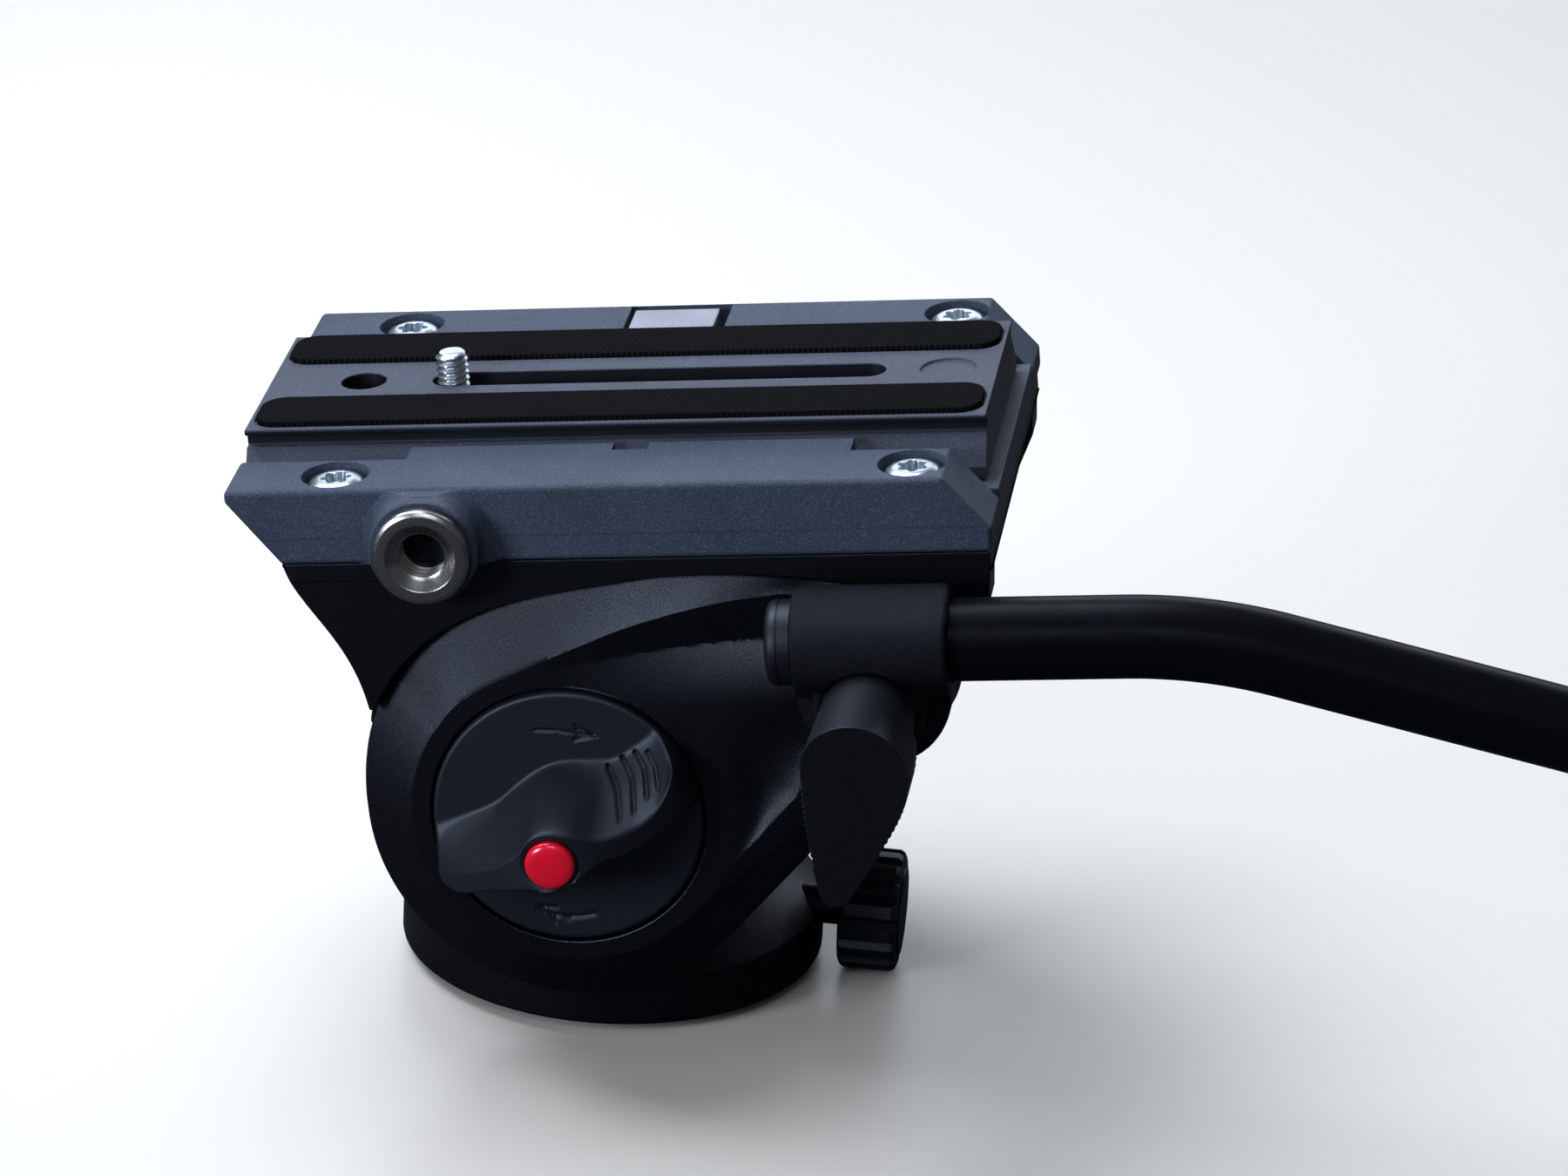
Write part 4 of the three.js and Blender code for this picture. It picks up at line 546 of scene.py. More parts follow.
housing = join(shell, column, lock_boss, level_boss)
housing = cut(housing, cavity, tilt_bore(8.6, -30, 30), tilt_bore(12.8, 16.2, 30), tilt_bore(12.8, -30, -16.2),
              shift(along_x(cylinder(BOLT_R, 21, 50, 32)), z=PAN_LOCK_Z),
              shift(cylinder(6.3, 17, 26, 48), *level_at))
piece("housing", bevel(housing, 0.35), "pan_body", "casting", ["pan_housing"])
vial = turned([(0, 17.3), (6, 17.3), (6, 20.6), (5.6, 21), (0, 21)], 64)
piece("level_vial", shift(vial, *level_at), "pan_body", "vial", ["bubble_level"])


def ribbed_knob(r, x0, x1, ribs, depth):
    """A knurled knob along X: broad ribs with narrow grooves, its rims rounded."""
    n = ribs * 8
    rings_at = []
    for x, shrink, deep in ((x0, 1.3, 0.2), (x0 + 0.35, 0.5, 0.6), (x0 + 1.1, 0, 1),
                            (x1 - 1.1, 0, 1), (x1 - 0.35, 0.5, 0.6), (x1, 1.3, 0.2)):
        points = []
        for i in range(n):
            a = 2 * pi * i / n
            groove = max(0.0, 1 - abs(((i % 8) - 4) / 1.9)) ** 0.7
            radius = r - shrink - depth * groove * deep
            points.append((x, *polar(radius, a)))
        rings_at.append(points)
    return loft(rings_at)


pan_knob = ribbed_knob(12, 45.5, 57, 16, 1.1)
pan_knob = join(pan_knob, along_x(cylinder(8.6, 56.9, 57.4, 64)))
pan_knob = shift(cut(pan_knob, along_x(cylinder(BOLT_R, 40, 55, 32))), z=PAN_LOCK_Z)
piece("pan_knob", pan_knob, "pan_lock", "smooth_black", ["pan_lock_knob"])

# Tilt frame

FRAME_Y, DECK_Y, DECK_LOW, DECK_TOP, FLOOR_TOP = 42.0, 46.5, 48.0, 51.7, 58.5
WALL, FLARE_LOW = 5, 21.5  # thickness of the side walls, and where they start to flare
WELL = (-46.7, 79.7, -29, 29)  # x and y of the opening under the plate
BOSS_X, BOSS_Z, BOSS_R = 61.0, 27.8, 15.0


def on_boss(thing):
    return shift(thing, BOSS_X, 0, BOSS_Z)


def wall_outline():
    points = [(83, DECK_TOP), (-50.3, DECK_TOP)]
    points += bezier((-50.3, DECK_TOP - 0.5), (-47.6, 42.0), (-39.0, 36.5), (-36.6, 22.0), 24)
    points += [(-36.8, 20.5), (-37.2, 19.0), (-37.6, 17.2)]
    points += arc(0, 0, 32, 161, 364, 60)
    x, z = 33.5, 9.5  # the corner that the curve into the arm bends round
    end = ((x + BOSS_X) / 2, (z + BOSS_Z - BOSS_R) / 2)
    a = points[-1]
    points += [((1 - t) ** 2 * a[0] + 2 * t * (1 - t) * x + t * t * end[0],
                (1 - t) ** 2 * a[1] + 2 * t * (1 - t) * z + t * t * end[1])
               for t in np.linspace(0.1, 1, 10)]
    points += arc(BOSS_X, BOSS_Z, BOSS_R, -90, 0, 20) + [(82.3, 41.5)]
    return points


# The side cover's upper outline: degrees about the tilt axis, and the radius there
UPPER = [(64.7, 52.3), (75, 47.7), (84.5, 45.1), (90.5, 44.1), (100.5, 43.2), (109.7, 42.8), (119.6, 42.6),
         (129, 42.3), (138.7, 41.8), (147.5, 41.3), (156, 40.8), (163, 40.3), (172, 39.8), (180, 39.5)]


def cover_outline(radius, leave, crest_x, crest_z, inset, steps, upper=()):
    """The side cover's outline about the tilt axis, with a number of points for each of its curves."""
    edge = BOSS_R - inset
    far = hypot(BOSS_X, BOSS_Z)
    tangent = degrees(atan2(BOSS_Z, BOSS_X) - acos((radius - edge) / far))
    ends = arc(0, 0, radius, tangent, -180, steps[0])
    if upper:
        angles_at, radii = (values[::-1] for values in table(upper, steps[1] + steps[2]))
        ends += [polar(r, radians(a)) for a, r in zip(angles_at, radii)][1:]
    else:
        ends += arc(0, 0, radius, 180, leave, steps[1])[1:]
        a = radians(leave)
        start = polar(radius, a)
        span = hypot(crest_x - start[0], crest_z - start[1])
        ends += bezier(start, (start[0] + sin(a) * span * 0.36, start[1] - cos(a) * span * 0.36),
                       (crest_x - span * 0.36, crest_z - span * 0.018), (crest_x, crest_z), steps[2])[1:]
    ends += bezier((crest_x, crest_z), ((crest_x + BOSS_X) / 2, crest_z + (BOSS_X - crest_x) * 0.025),
                   (BOSS_X + edge, crest_z), (BOSS_X + edge, BOSS_Z), steps[3])[1:]
    ends += arc(BOSS_X, BOSS_Z, edge, 0, tangent, steps[4])[1:]
    first, last = ends[0], ends[-1]
    return ends + [(last[0] + (first[0] - last[0]) * i / steps[5],
                    last[1] + (first[1] - last[1]) * i / steps[5]) for i in range(1, steps[5])]


BASE_STEPS = [64, 20, 52, 32, 28, 16]
FRONT_STEPS = [64, 48, 24, 32, 28, 16]
COVER_NEAR = FRAME_Y + GAP
COVER_FAR = COVER_NEAR + 5.7
base_line = cover_outline(39.5, 152, 22.3, 47.3, 0, BASE_STEPS, UPPER)
front_line = cover_outline(30, 99, 25.5, 40.9, 1.6, FRONT_STEPS)


def tilt_frame():
    wall = shift(slab(wall_outline(), WALL), y=-FRAME_Y + WALL)
    lean = degrees(atan((DECK_Y - FRAME_Y) / (DECK_LOW - FLARE_LOW)))
    flare = shift(slab(wall_outline(), DECK_Y - FRAME_Y + GAP), y=GAP - FRAME_Y)
    outside = shift(turn(space(y=(-FAR, 0)), -lean, "X"), 0, -DECK_Y, DECK_LOW)
    room = [(x * (1 + GAP / hypot(x, z)), z * (1 + GAP / hypot(x, z))) for x, z in base_line]
    flare = cut(flare, outside, space(y=(-FAR, 0), z=(-FAR, FLARE_LOW)), slab(room, DECK_Y, -FRAME_Y))
    deck_side = [(-50, DECK_TOP), (-47.4, DECK_LOW), (83, DECK_LOW), (83, DECK_TOP)]
    deck = mirror_y(slab(deck_side, 2 * DECK_Y, DECK_Y))
    body = join(deck, wall, mirror_y(copy(wall)), flare, mirror_y(copy(flare)))
    return cut(body, block(*WELL, DECK_LOW - OVER, FLOOR_TOP), along_y(cylinder(8.3, -60, 60, 64)),
               on_boss(along_y(cylinder(BOLT_R, -60, 60, 32))))


piece("tilt_yoke", bevel(tilt_frame(), 0.5, 2), "tilt_head", "casting", ["tilt_frame"])

# Rails and the floor between them

RAIL_Y, RAIL_IN, RAIL_TOP = 47.7, 32.6, 66.9
RAIL_LOW = DECK_TOP + GAP
RAIL_BACK, RAIL_END = -50, 83.6
LIP_X, LIP_HALF, LIP_Y = 14.5, 42.0, 26.6
DOVETAIL_Y, DOVETAIL_Z = 29.05, 61.3
SCREWS = [(x, y) for y in (-39.5, 39.5) for x in (-39.75, 68.75)]
SINK, HEAD_DEEP = 0.6, 3.2  # the screw heads: under the rail's top, and their thickness
BUSH_X, BUSH_Z, BUSH_BACK = -21.6, 56.3, 46.9
LOCK_X, LOCK_Z = 12.5, 58
BUTTON_X, BUTTON_Z = -10, 60
channel = cut(block(RAIL_BACK, RAIL_END, -32.3, 32.3, 52, FLOOR_TOP), block(*WELL, 46, FLOOR_TOP - 4))
piece("rail_floor", bevel(channel, 0.4, 2), "tilt_head", "rail", ["channel_floor"])


def rail():
    body = round_slab([(-59.6, RAIL_TOP), (-59.6, RAIL_TOP - 2.4), (RAIL_BACK, RAIL_LOW), (RAIL_END, RAIL_LOW),
                       (RAIL_END, RAIL_TOP - 10.2), (74.9, RAIL_TOP)], RAIL_Y - RAIL_IN, -RAIL_IN, 1.1, 0.3)
    lip = section([(-RAIL_IN - GAP, RAIL_TOP), (-LIP_Y, RAIL_TOP), (-LIP_Y, RAIL_TOP - 2.6),
                   (-DOVETAIL_Y, DOVETAIL_Z), (-DOVETAIL_Y, FLOOR_TOP + GAP),
                   (-RAIL_IN - GAP, FLOOR_TOP + GAP)], LIP_X - LIP_HALF, LIP_X + LIP_HALF)
    notch = block(LIP_X - 3.4, LIP_X + 3.4, -30.1, -LIP_Y + OVER, FLOOR_TOP, RAIL_TOP + OVER)
    head_low = RAIL_TOP - SINK - HEAD_DEEP
    recess = [(0, head_low - GAP), (6.35, head_low - GAP), (6.35, RAIL_TOP - 0.35), (6.45, RAIL_TOP - 0.1),
              (6.75, RAIL_TOP), (6.75, RAIL_TOP + OVER), (0, RAIL_TOP + OVER)]
    holes = [shift(turned(recess), x, y) for x, y in SCREWS if y < 0]
    return cut(join(body, lip), notch, *holes)


def at_bush(thing):
    return shift(along_minus_y(thing), BUSH_X, 0, BUSH_Z)


def at_lock(thing):
    return shift(thing, LOCK_X, 0, LOCK_Z)


def at_button(thing):
    return shift(thing, BUTTON_X, 0, BUTTON_Z)


def left_rail():
    flared = [(0, 30), (14.2, 30), (14.2, 47.0), (12.4, 47.75), (11.2, 48.5), (10.55, 49.5), (10.25, 50.6),
              (0, 50.6)]
    flare = cut(at_bush(turned(flared)), space(z=(RAIL_TOP - 0.5, FAR)), space(z=(-FAR, RAIL_LOW)),
                space(y=(-BUSH_BACK, FAR)))
    plain = [(0, BUSH_BACK), (10.1, BUSH_BACK), (10.3, 47.1), (10.3, 53.1), (10.0, 53.5), (0, 53.5)]
    plain = cut(at_bush(turned(plain)), space(z=(RAIL_TOP - 0.6, FAR)))
    bore = at_bush(cylinder(7.3, BUSH_BACK, 60))
    seam = RAIL_LOW + 5
    seams = [space(x, (-FAR, -RAIL_Y + 0.22), (seam, seam + 0.35)) for x in ((-FAR, -36.4), (-6.8, FAR))]
    return cut(join(rail(), flare, plain), bore, *seams)


def right_rail():
    jaw_notch = block(3.3, 23.5, 21.6, 47.1, 53.7, RAIL_TOP + OVER)
    screw_hole = at_lock(along_y(cylinder(BOLT_R, 44, 55, 32)))
    button_hole = at_button(along_y(cylinder(3.8, 34, 55, 32)))
    return cut(mirror_y(rail()), jaw_notch, screw_hole, button_hole)


near_rail = left_rail()
# The floor of the bore behind the bush is painted black: painted shade at the bottom of the hole
bore_floor_shade = [face.index for face in near_rail.data.polygons if abs(face.center.y + BUSH_BACK) < 0.05
              and hypot(face.center.x - BUSH_X, face.center.z - BUSH_Z) < 7.35]
piece("near_rail", near_rail, "tilt_head", "rail", ["left_rail"])
paint(near_rail, bore_floor_shade, "smooth_black")
piece("far_rail", right_rail(), "tilt_head", "rail", ["right_rail"])


def star():
    """The outline of a screw's six-lobed socket."""
    count, lobes, r, ratio = 72, 6, 2.9, 0.72
    points = []
    for i in range(count):
        a = 2 * pi * i / count
        radius = r * (ratio + (1 - ratio) * (0.5 + 0.5 * cos(lobes * a)) ** 0.8)
        points.append(polar(radius, a))
    return points


def rail_screw(spin):
    head = turned([(0, -HEAD_DEEP), (5.35, -HEAD_DEEP), (5.35, -1.5), (5.15, -0.95), (4.6, -0.5), (3.9, -0.2),
                   (3.3, -0.05), (0, 0)], 96)
    socket = shift(turn(turn(slab(star(), 4), -90, "X"), spin, "Z"), z=-2)
    return bevel(cut(head, socket), 0.12, 2)


for k, (x, y) in enumerate(SCREWS):
    screw = shift(rail_screw(13 + 24 * k), x, y, RAIL_TOP - SINK)
    piece(f"deck_screw_{k + 1}", screw, "tilt_head", "steel", [f"rail_screw_{k + 1}"])

# Accessory bush: a flange with a bevelled rim and a threaded bore

profile = [(4.75, 47.2), (7, 47.2), (7, 53.8), (9.3, 53.8), (9.3, 55.55), (9.1, 55.9), (8.5, 56.3), (8.2, 56.4),
           (6.7, 56.4), (6.5, 56.3), (5.1, 55.0)]
z = 54.6
while z > 48.9:
    profile += [(4.35, z), (4.35, z - 0.25), (5.05, z - 0.8), (5.05, z - 1.0)]
    z -= 1.5875  # 16 threads to the inch
bush = at_bush(turned(profile, 128))
piece("bush", bush, "tilt_head", "bright", ["accessory_bush"], angle=24)

# Side covers: lines on their face as points (x, z) from the tilt axis

BAND = [(-24.4, 17.4), (-20.2, 22.4), (-15.3, 25.7), (-5.7, 30.2), (3.8, 34.2), (13.3, 38), (22.6, 40.8), (31.9, 43),
        (41.1, 44.3), (50, 45.1), (60, 45.4)]
VALLEY = [(-12, 28.6), (-1.1, 29.9), (16.5, 32.6), (38.4, 34.6), (80, 36.6)]
STREAK = [(16, -30), (23.3, -19.5), (27.4, -13.3), (35.4, -5.5), (43.5, 3.4), (46.5, 8.4), (50, 17), (52, 26)]
DEPTH = COVER_FAR - COVER_NEAR
BOSS_FACE = COVER_FAR - 1.9
RECESS_R, RECESS_DEEP = 26.3, 4.4  # the round recess for the knob and the far cap
SCREW_HOLE = 4.3


def radius_at(points, angles):
    """Radius of a closed outline about the tilt axis at each angle."""
    a = np.array([atan2(z, x) for x, z in points])
    r = np.array([hypot(x, z) for x, z in points])
    order = np.argsort(a)
    return np.interp(angles, a[order], r[order], period=2 * pi)


def cover_relief(x, z):
    """How far the cover's face lies below its highest level: the valley over the arm, and the hollow beside it."""
    band = np.interp(x, *table(BAND))
    bottom = np.interp(x, *table(VALLEY))
    deep = 2.8 * ease((x + 7) / 44)
    above = (band - z) / np.maximum(0.5, band - bottom)
    below = 1 - (bottom - z) / 12
    drop = deep * np.where(z > bottom, np.clip(above, 0, 1), np.clip(below, 0, 1) ** 1.8)
    d, side = distance_to(STREAK, x, z)
    r = np.hypot(x, z)
    hollow = (1 - np.exp(-d / 2.4)) * (1 - ease((d - 5) / 15)) * ease((r - 31) / 7) * ease((24 - z) / 12)
    return drop + np.where(side > 0, 2.0 * hollow, 0.14 * d * ease((r - 30) / 3))


def side_cover():
    """Rows of heights round the tilt axis: the back, the rim, the flank, the face and the recess."""
    n, flank_steps, face_steps = 600, 14, 54
    angles = np.linspace(-pi, pi, n, endpoint=False)
    outer = radius_at(base_line, angles)
    crease = radius_at(front_line, angles)
    bx, bz = table(BAND)
    band_a, band_r = np.arctan2(bz, bx)[::-1], np.hypot(bx, bz)[::-1]
    on_band = np.interp(angles, band_a, band_r)
    share = ease((np.degrees(angles) - 37) / 9) * (angles < band_a[-1])
    crease = crease + (on_band - crease) * share
    rim = np.clip(0.11 * (outer * np.sin(angles) - FLARE_LOW), 0.12 * DEPTH, 0.6 * DEPTH)
    rows = [(np.full(n, SCREW_HOLE), np.zeros(n)), (outer - 0.25, np.zeros(n)), (outer, np.full(n, 0.2)),
            (outer, rim - 0.12), (outer - 0.08, rim)]
    for k in range(1, flank_steps + 1):
        t = k / flank_steps
        r = outer + (crease - outer) * t
        x, z = r * np.cos(angles), r * np.sin(angles)
        low = cover_relief(x, z) * t * t
        rows.append((r, rim + (DEPTH - rim) * t - low))
    for k in range(1, face_steps + 1):
        r = crease + (26.6 - crease) * k / face_steps
        x, z = r * np.cos(angles), r * np.sin(angles)
        rows.append((r, DEPTH - cover_relief(x, z)))
    for r, h in ((26.38, 0.09), (RECESS_R, 0.3), (RECESS_R, RECESS_DEEP), (SCREW_HOLE, RECESS_DEEP)):
        rows.append((np.full(n, r), np.full(n, DEPTH - h)))
    verts, count = [], len(rows)
    for r, h in rows:
        verts += list(zip(r * np.cos(angles), -COVER_NEAR - h, r * np.sin(angles)))
    faces = []
    for j in range(count):
        a, b = j * n, ((j + 1) % count) * n
        faces += [(a + i, a + (i + 1) % n, b + (i + 1) % n, b + i) for i in range(n)]
    body = make(verts, faces)
    spot = on_boss(along_minus_y(cylinder(BOSS_R, BOSS_FACE, COVER_FAR + OVER)))
    tooth_pocket = on_boss(along_minus_y(cylinder(13.7, BOSS_FACE - GAP - 2.4, COVER_FAR + OVER)))
    bolt = on_boss(along_minus_y(cylinder(BOLT_R, COVER_NEAR - OVER, COVER_FAR, 32)))
    return cut(body, spot, tooth_pocket, bolt)


cover = side_cover()
far_cover = mirror_y(copy(cover))
for thing, side, hand in ((cover, "near", "left"), (far_cover, "far", "right")):
    piece(f"{side}_cover", thing, "tilt_head", "cover", [f"{hand}_side_cover"], angle=20)
far_cap = along_y(turned([(0, 43.9), (25.8, 43.9), (25.8, 48.0), (25.4, 48.4), (0, 48.4)], 128))
piece("far_cap", far_cap, "tilt_head", "knob", ["right_cap"])

# Tilt lock knob: RIDGE, LOWER and FOOT are in shares of its radius, GRIPS and ARROWS in millimetres

KNOB_R = 25.7
RIDGE = [(-1, -0.34), (-0.65, -0.155), (-0.377, -0.015), (-0.233, 0.1), (-0.13, 0.226), (0, 0.268), (0.13, 0.253),
         (0.34, 0.171), (0.5, 0.167), (0.665, 0.206), (0.763, 0.28), (0.833, 0.397), (0.9, 0.6), (1, 0.7)]
LOWER = [(-1, -0.35), (-0.82, -0.39), (-0.66, -0.35), (-0.52, -0.28), (-0.31, -0.24), (-0.175, -0.218), (0, -0.226),
         (0.18, -0.152), (0.36, -0.03), (0.51, -0.012), (0.66, 0.031), (0.84, 0.117), (1, 0.21)]
FOOT = [(-1, -0.02), (-0.73, 0.055), (-0.486, 0.163), (-0.35, 0.28), (-0.218, 0.374), (-0.035, 0.447), (0.2, 0.463),
        (0.377, 0.479), (0.56, 0.59), (0.68, 0.69), (0.8, 0.85), (1, 1.1)]
GRIPS = [[(8.8, 10.9), (11.1, 8.5), (12.5, 5.8)], [(11.5, 12.4), (13.8, 9.9), (14.9, 6.6)],
         [(14.1, 13.6), (16.1, 11.5), (17.1, 8.3)], [(16.6, 14.0), (18.4, 12.0), (19.2, 9.6)]]
ARROWS = [[(-4.6, 18.2), (-0.3, 18.0), (3.3, 17.3), (6.9, 16.8)], [(3.0, 19.0), (6.9, 16.8), (2.7, 16.0)],
          [(3.2, 18.2), (6.0, 17.0), (3.0, 16.7)],
          [(3.4, -20.5), (0.5, -21.1), (-2.1, -21.2), (-4.9, -20.4)], [(-3.7, -18.8), (-7.6, -18.9), (-4.3, -22.2)],
          [(-4.2, -20.9), (-6.9, -19.3)]]


def knob_height(x, z):
    """Height of the knob's front over the cover: the wing from its ridge down, hollows, grooves and arrows."""
    s = x / KNOB_R
    ridge, foot, low = (KNOB_R * np.interp(s, *table(line)) for line in (RIDGE, FOOT, LOWER))
    crown = 6 + 16 * (1 - s * s)
    end = np.clip((s - 0.87) / 0.13, 0, 1)
    crown = 1 + (crown - 1) * np.sqrt(1 - end ** 2)
    total = 0
    for step in (-0.5, -0.25, 0, 0.25, 0.5):
        t = np.clip((z + step - ridge) / np.maximum(0.5, foot - ridge), 0, 1)
        shelf = 1 + (crown - 1) * (1 - t) ** 1.6
        cliff = 0.2 + (crown - 0.2) * (1 - ease((low - z - step) / 2))
        total = total + np.where(z + step > ridge, shelf, np.where(z + step < low, cliff, crown)) / 5
    r = np.hypot(x, z)
    rim = np.clip((r - KNOB_R + 0.9) / 0.9, 0, 1)
    total = total - 0.75 * (1 - np.sqrt(1 - rim ** 2))
    for line in GRIPS:
        total = total - 1.1 * np.clip(1 - (distance_to(line, x, z)[0] / 0.55) ** 2, 0, 1)
    for line in ARROWS:
        total = total - 0.35 * np.clip(1.6 - (distance_to(line, x, z)[0] / 0.3) ** 2, 0, 1)
    return total - 0.5 * np.clip((5.6 - r) / 0.5, 0, 1)


def tilt_knob():
    """A grid from rim to rim in each column, its rows drawn together where the wing is steep."""
    columns, rows = 250, 200
    across = -KNOB_R * np.cos(np.pi * np.arange(columns + 1) / columns)
    grid_z = np.zeros((columns + 1, rows + 1))
    shares = [0.0, 0.03, 0.18, 0.28, 0.38, 0.66, 0.97, 1.0]
    ridge, foot, low = (KNOB_R * np.interp(across / KNOB_R, *table(line)) for line in (RIDGE, FOOT, LOWER))
    for i, x in enumerate(across):
        rim = sqrt(max(0, KNOB_R ** 2 - x ** 2))
        marks = np.array([-rim, -rim + 0.9, low[i] - 2.5, low[i] + 0.4, ridge[i] - 0.4, foot[i] + 0.5,
                          rim - 0.9, rim])
        marks = np.maximum.accumulate(np.clip(marks, -rim, rim))
        grid_z[i] = np.interp(np.arange(rows + 1) / rows, shares, marks)
    grid_x = np.repeat(across[:, None], rows + 1, 1)
    height = knob_height(grid_x, grid_z)
    verts = list(zip(grid_x.ravel(), -(COVER_FAR + height.ravel()), grid_z.ravel()))
    width = rows + 1
    faces = [(i * width + j, (i + 1) * width + j, (i + 1) * width + j + 1, i * width + j + 1)
             for i in range(columns) for j in range(rows)]
    back_y = -(COVER_FAR - RECESS_DEEP + GAP)
    start = len(verts)
    for i in range(columns + 1):
        verts += [(across[i], back_y, grid_z[i, 0]), (across[i], back_y, grid_z[i, -1])]
    for i in range(columns):
        low_at = start + 2 * i
        faces.append((low_at, low_at + 1, low_at + 3, low_at + 2))
        faces.append((low_at, low_at + 2, (i + 1) * width, i * width))
        faces.append((low_at + 3, low_at + 1, i * width + rows, (i + 1) * width + rows))
    thing = make(verts, faces)
    return cut(thing, along_minus_y(cylinder(SCREW_HOLE, COVER_FAR - 8, COVER_FAR + 11, 32)),
               along_minus_y(cylinder(5.0, COVER_FAR + 20.8, COVER_FAR + 30, 64)))


piece("tilt_knob", tilt_knob(), "tilt_lock", "knob", ["tilt_lock_knob"],
      angle=50, weighted=False)
cap_low = COVER_FAR + 21.1
cap = turned([(0, cap_low), (4.7, cap_low), (4.7, cap_low + 0.9), (4.55, cap_low + 1.25), (4.1, cap_low + 1.6),
              (3.2, cap_low + 1.85), (1.8, cap_low + 2.02), (0, cap_low + 2.1)], 96)
piece("red_cap", along_minus_y(cap), "tilt_lock", "red", ["knob_cap"])

# Camera plate

PLATE_TOP, PLATE_X, PLATE_HALF = 70.3, 10.6, 70.5
SLOT_R, SLOT_ENDS = 3.5, (-24.5, 56.1)


def camera_plate():
    half = [(24.6, PLATE_TOP), (24.9, PLATE_TOP - 0.12), (25, PLATE_TOP - 0.4), (25, 69.1), (23, 69.1), (23, 66.7),
            (24.3, 66.7), (28.6, 61.3), (28.6, 59.1)]
    outline = half + [(-y, z) for y, z in reversed(half)]
    body = section(outline, PLATE_X - PLATE_HALF, PLATE_X + PLATE_HALF)
    channel = block(-35, 66.6, -8, 8, 54, PLATE_TOP - 5)
    slot_cut = section([(-SLOT_R, 58), (SLOT_R, 58), (SLOT_R, 75), (-SLOT_R, 75)], *SLOT_ENDS)
    ends = [shift(cylinder(SLOT_R, 58, 75, 64), x) for x in SLOT_ENDS]
    pin_hole = shift(cylinder(4.35, PLATE_TOP - 6, 75, 64), -41.5)
    round_spot = shift(cylinder(5.35, PLATE_TOP - 0.6, 75), 71.5)
    body = cut(body, channel, slot_cut, *ends, pin_hole, round_spot)
    return cut(body, pad(PLATE_TOP - 0.8, 75, 0.3), mirror_y(pad(PLATE_TOP - 0.8, 75, 0.3)))


def pad(low, high, grow=0.0):
    """The near pad, or with grow a cutter for its pocket."""
    hl, hw, c = 69.3 + grow, 6.65 + grow, 4.5 + grow
    points = arc(hl - c, hw - c, c, 0, 90, 12) + arc(-hl + c, hw - c, c, 90, 180, 12)
    points += arc(-hl + c, -hw + c, c, 180, 270, 12) + arc(hl - c, -hw + c, c, 270, 360, 12)
    low_ring, high_ring = ([(PLATE_X + x, -16.55 + y, z) for x, y in points] for z in (low, high))
    return prism(low_ring, high_ring)


# Painted shade: the faces in and under the slot, and those of the plate's sides, are given black to stand for the
# shade in the slot and in the groove along the sides

plate = bevel(camera_plate(), 0.3, 2)
slot_shade_faces = [face.index for face in plate.data.polygons
        if 58 < face.center.z < PLATE_TOP - 0.32 and abs(face.center.y) < 8.5 and abs(face.normal.x) < 0.999
        and -46.5 < face.center.x < 61]
# The plate's side faces along the groove, painted black as painted shade
edge = [face.index for face in plate.data.polygons if 66.8 < face.center.z < 70.05 and 22.9 < abs(face.center.y)
        and (face.center.z < 69.2 or abs(face.normal.y) > 0.8)]
piece("plate", plate, "sliding_plate", "plate", ["camera_plate"])
paint(plate, slot_shade_faces + edge, "smooth_black")


def woven_rubber():
    """Dark rubber with a fine diagonal weave."""
    material, tree, surface, where = shader("woven_rubber", (0.006, 0.006, 0.007), 0.95, specular=0.03)
    turn_node = new_node(tree, "Mapping", Rotation=(0, 0, radians(45)))
    tree.links.new(where, turn_node.inputs["Vector"])
    waves = []
    for direction in ("X", "Y"):
        wave = new_node(tree, "TexWave", Scale=420, Distortion=0.6)
        wave.bands_direction = direction
        tree.links.new(turn_node.outputs[0], wave.inputs["Vector"])
        waves.append(wave.outputs["Fac"])
    both = new_node(tree, "Math")
    both.operation = "MULTIPLY"
    tree.links.new(waves[0], both.inputs[0])
    tree.links.new(waves[1], both.inputs[1])
    color = tint(tree, both.outputs[0], (0.0040, 0.0038, 0.0044), (0.0150, 0.0142, 0.0160))
    tree.links.new(color, surface.inputs["Base Color"])
    bump(tree, surface, both.outputs[0], 0.6, 0.00012)
    return material


MAT["pad"] = woven_rubber()
near_pad = bevel(pad(PLATE_TOP - 0.5, PLATE_TOP + 0.9), 0.3, 3)
far_pad = mirror_y(copy(near_pad))
for thing, side in ((near_pad, "near"), (far_pad, "far")):
    piece(f"{side}_rubber", thing, "sliding_plate", "pad", [f"{side}_pad"])


def screw_thread(r, low, high, pitch, depth, n=48):
    """A threaded stud: one helical ridge round a core, drawn in at its upper end."""
    rings_at = []
    steps = int((high - low) / pitch * 8)
    for k in range(steps + 1):
        height = low + (high - low) * k / steps
        end = min(1.0, (high - height) / (pitch * 0.7))
        points = []
        for i in range(n):
            a = 2 * pi * i / n
            phase = ((height / pitch) - i / n) % 1
            wave = 1 - abs(2 * phase - 1)
            radius = r - depth * (1 - wave) - (1 - end) * 0.55
            points.append((*polar(radius, a), height))
        rings_at.append(points)
    return loft(rings_at)


stud = screw_thread(3.17, 63.9, PLATE_TOP + 5.5, 1.27, 0.6)  # 1/4 inch, 20 threads to the inch
head_part = turned([(0, 60.4), (6.5, 60.4), (6.5, 63.95), (0, 63.95)], 64)
piece("camera_stud", shift(join(stud, head_part), -24), "screw", "steel", ["camera_screw"], angle=40,
      weighted=False)

# Jaw, plate lock lever and safety button


def jaw():
    body = section([(LIP_Y, 66.4), (LIP_Y, 64.3), (DOVETAIL_Y, DOVETAIL_Z), (DOVETAIL_Y, 59.1), (32.9, 59.1),
                    (32.9, 54.0), (46.0, 54.0), (46.0, 66.4)], 4, 21)
    return cut(body, at_lock(along_y(cylinder(BOLT_R, 38, 50, 32))))


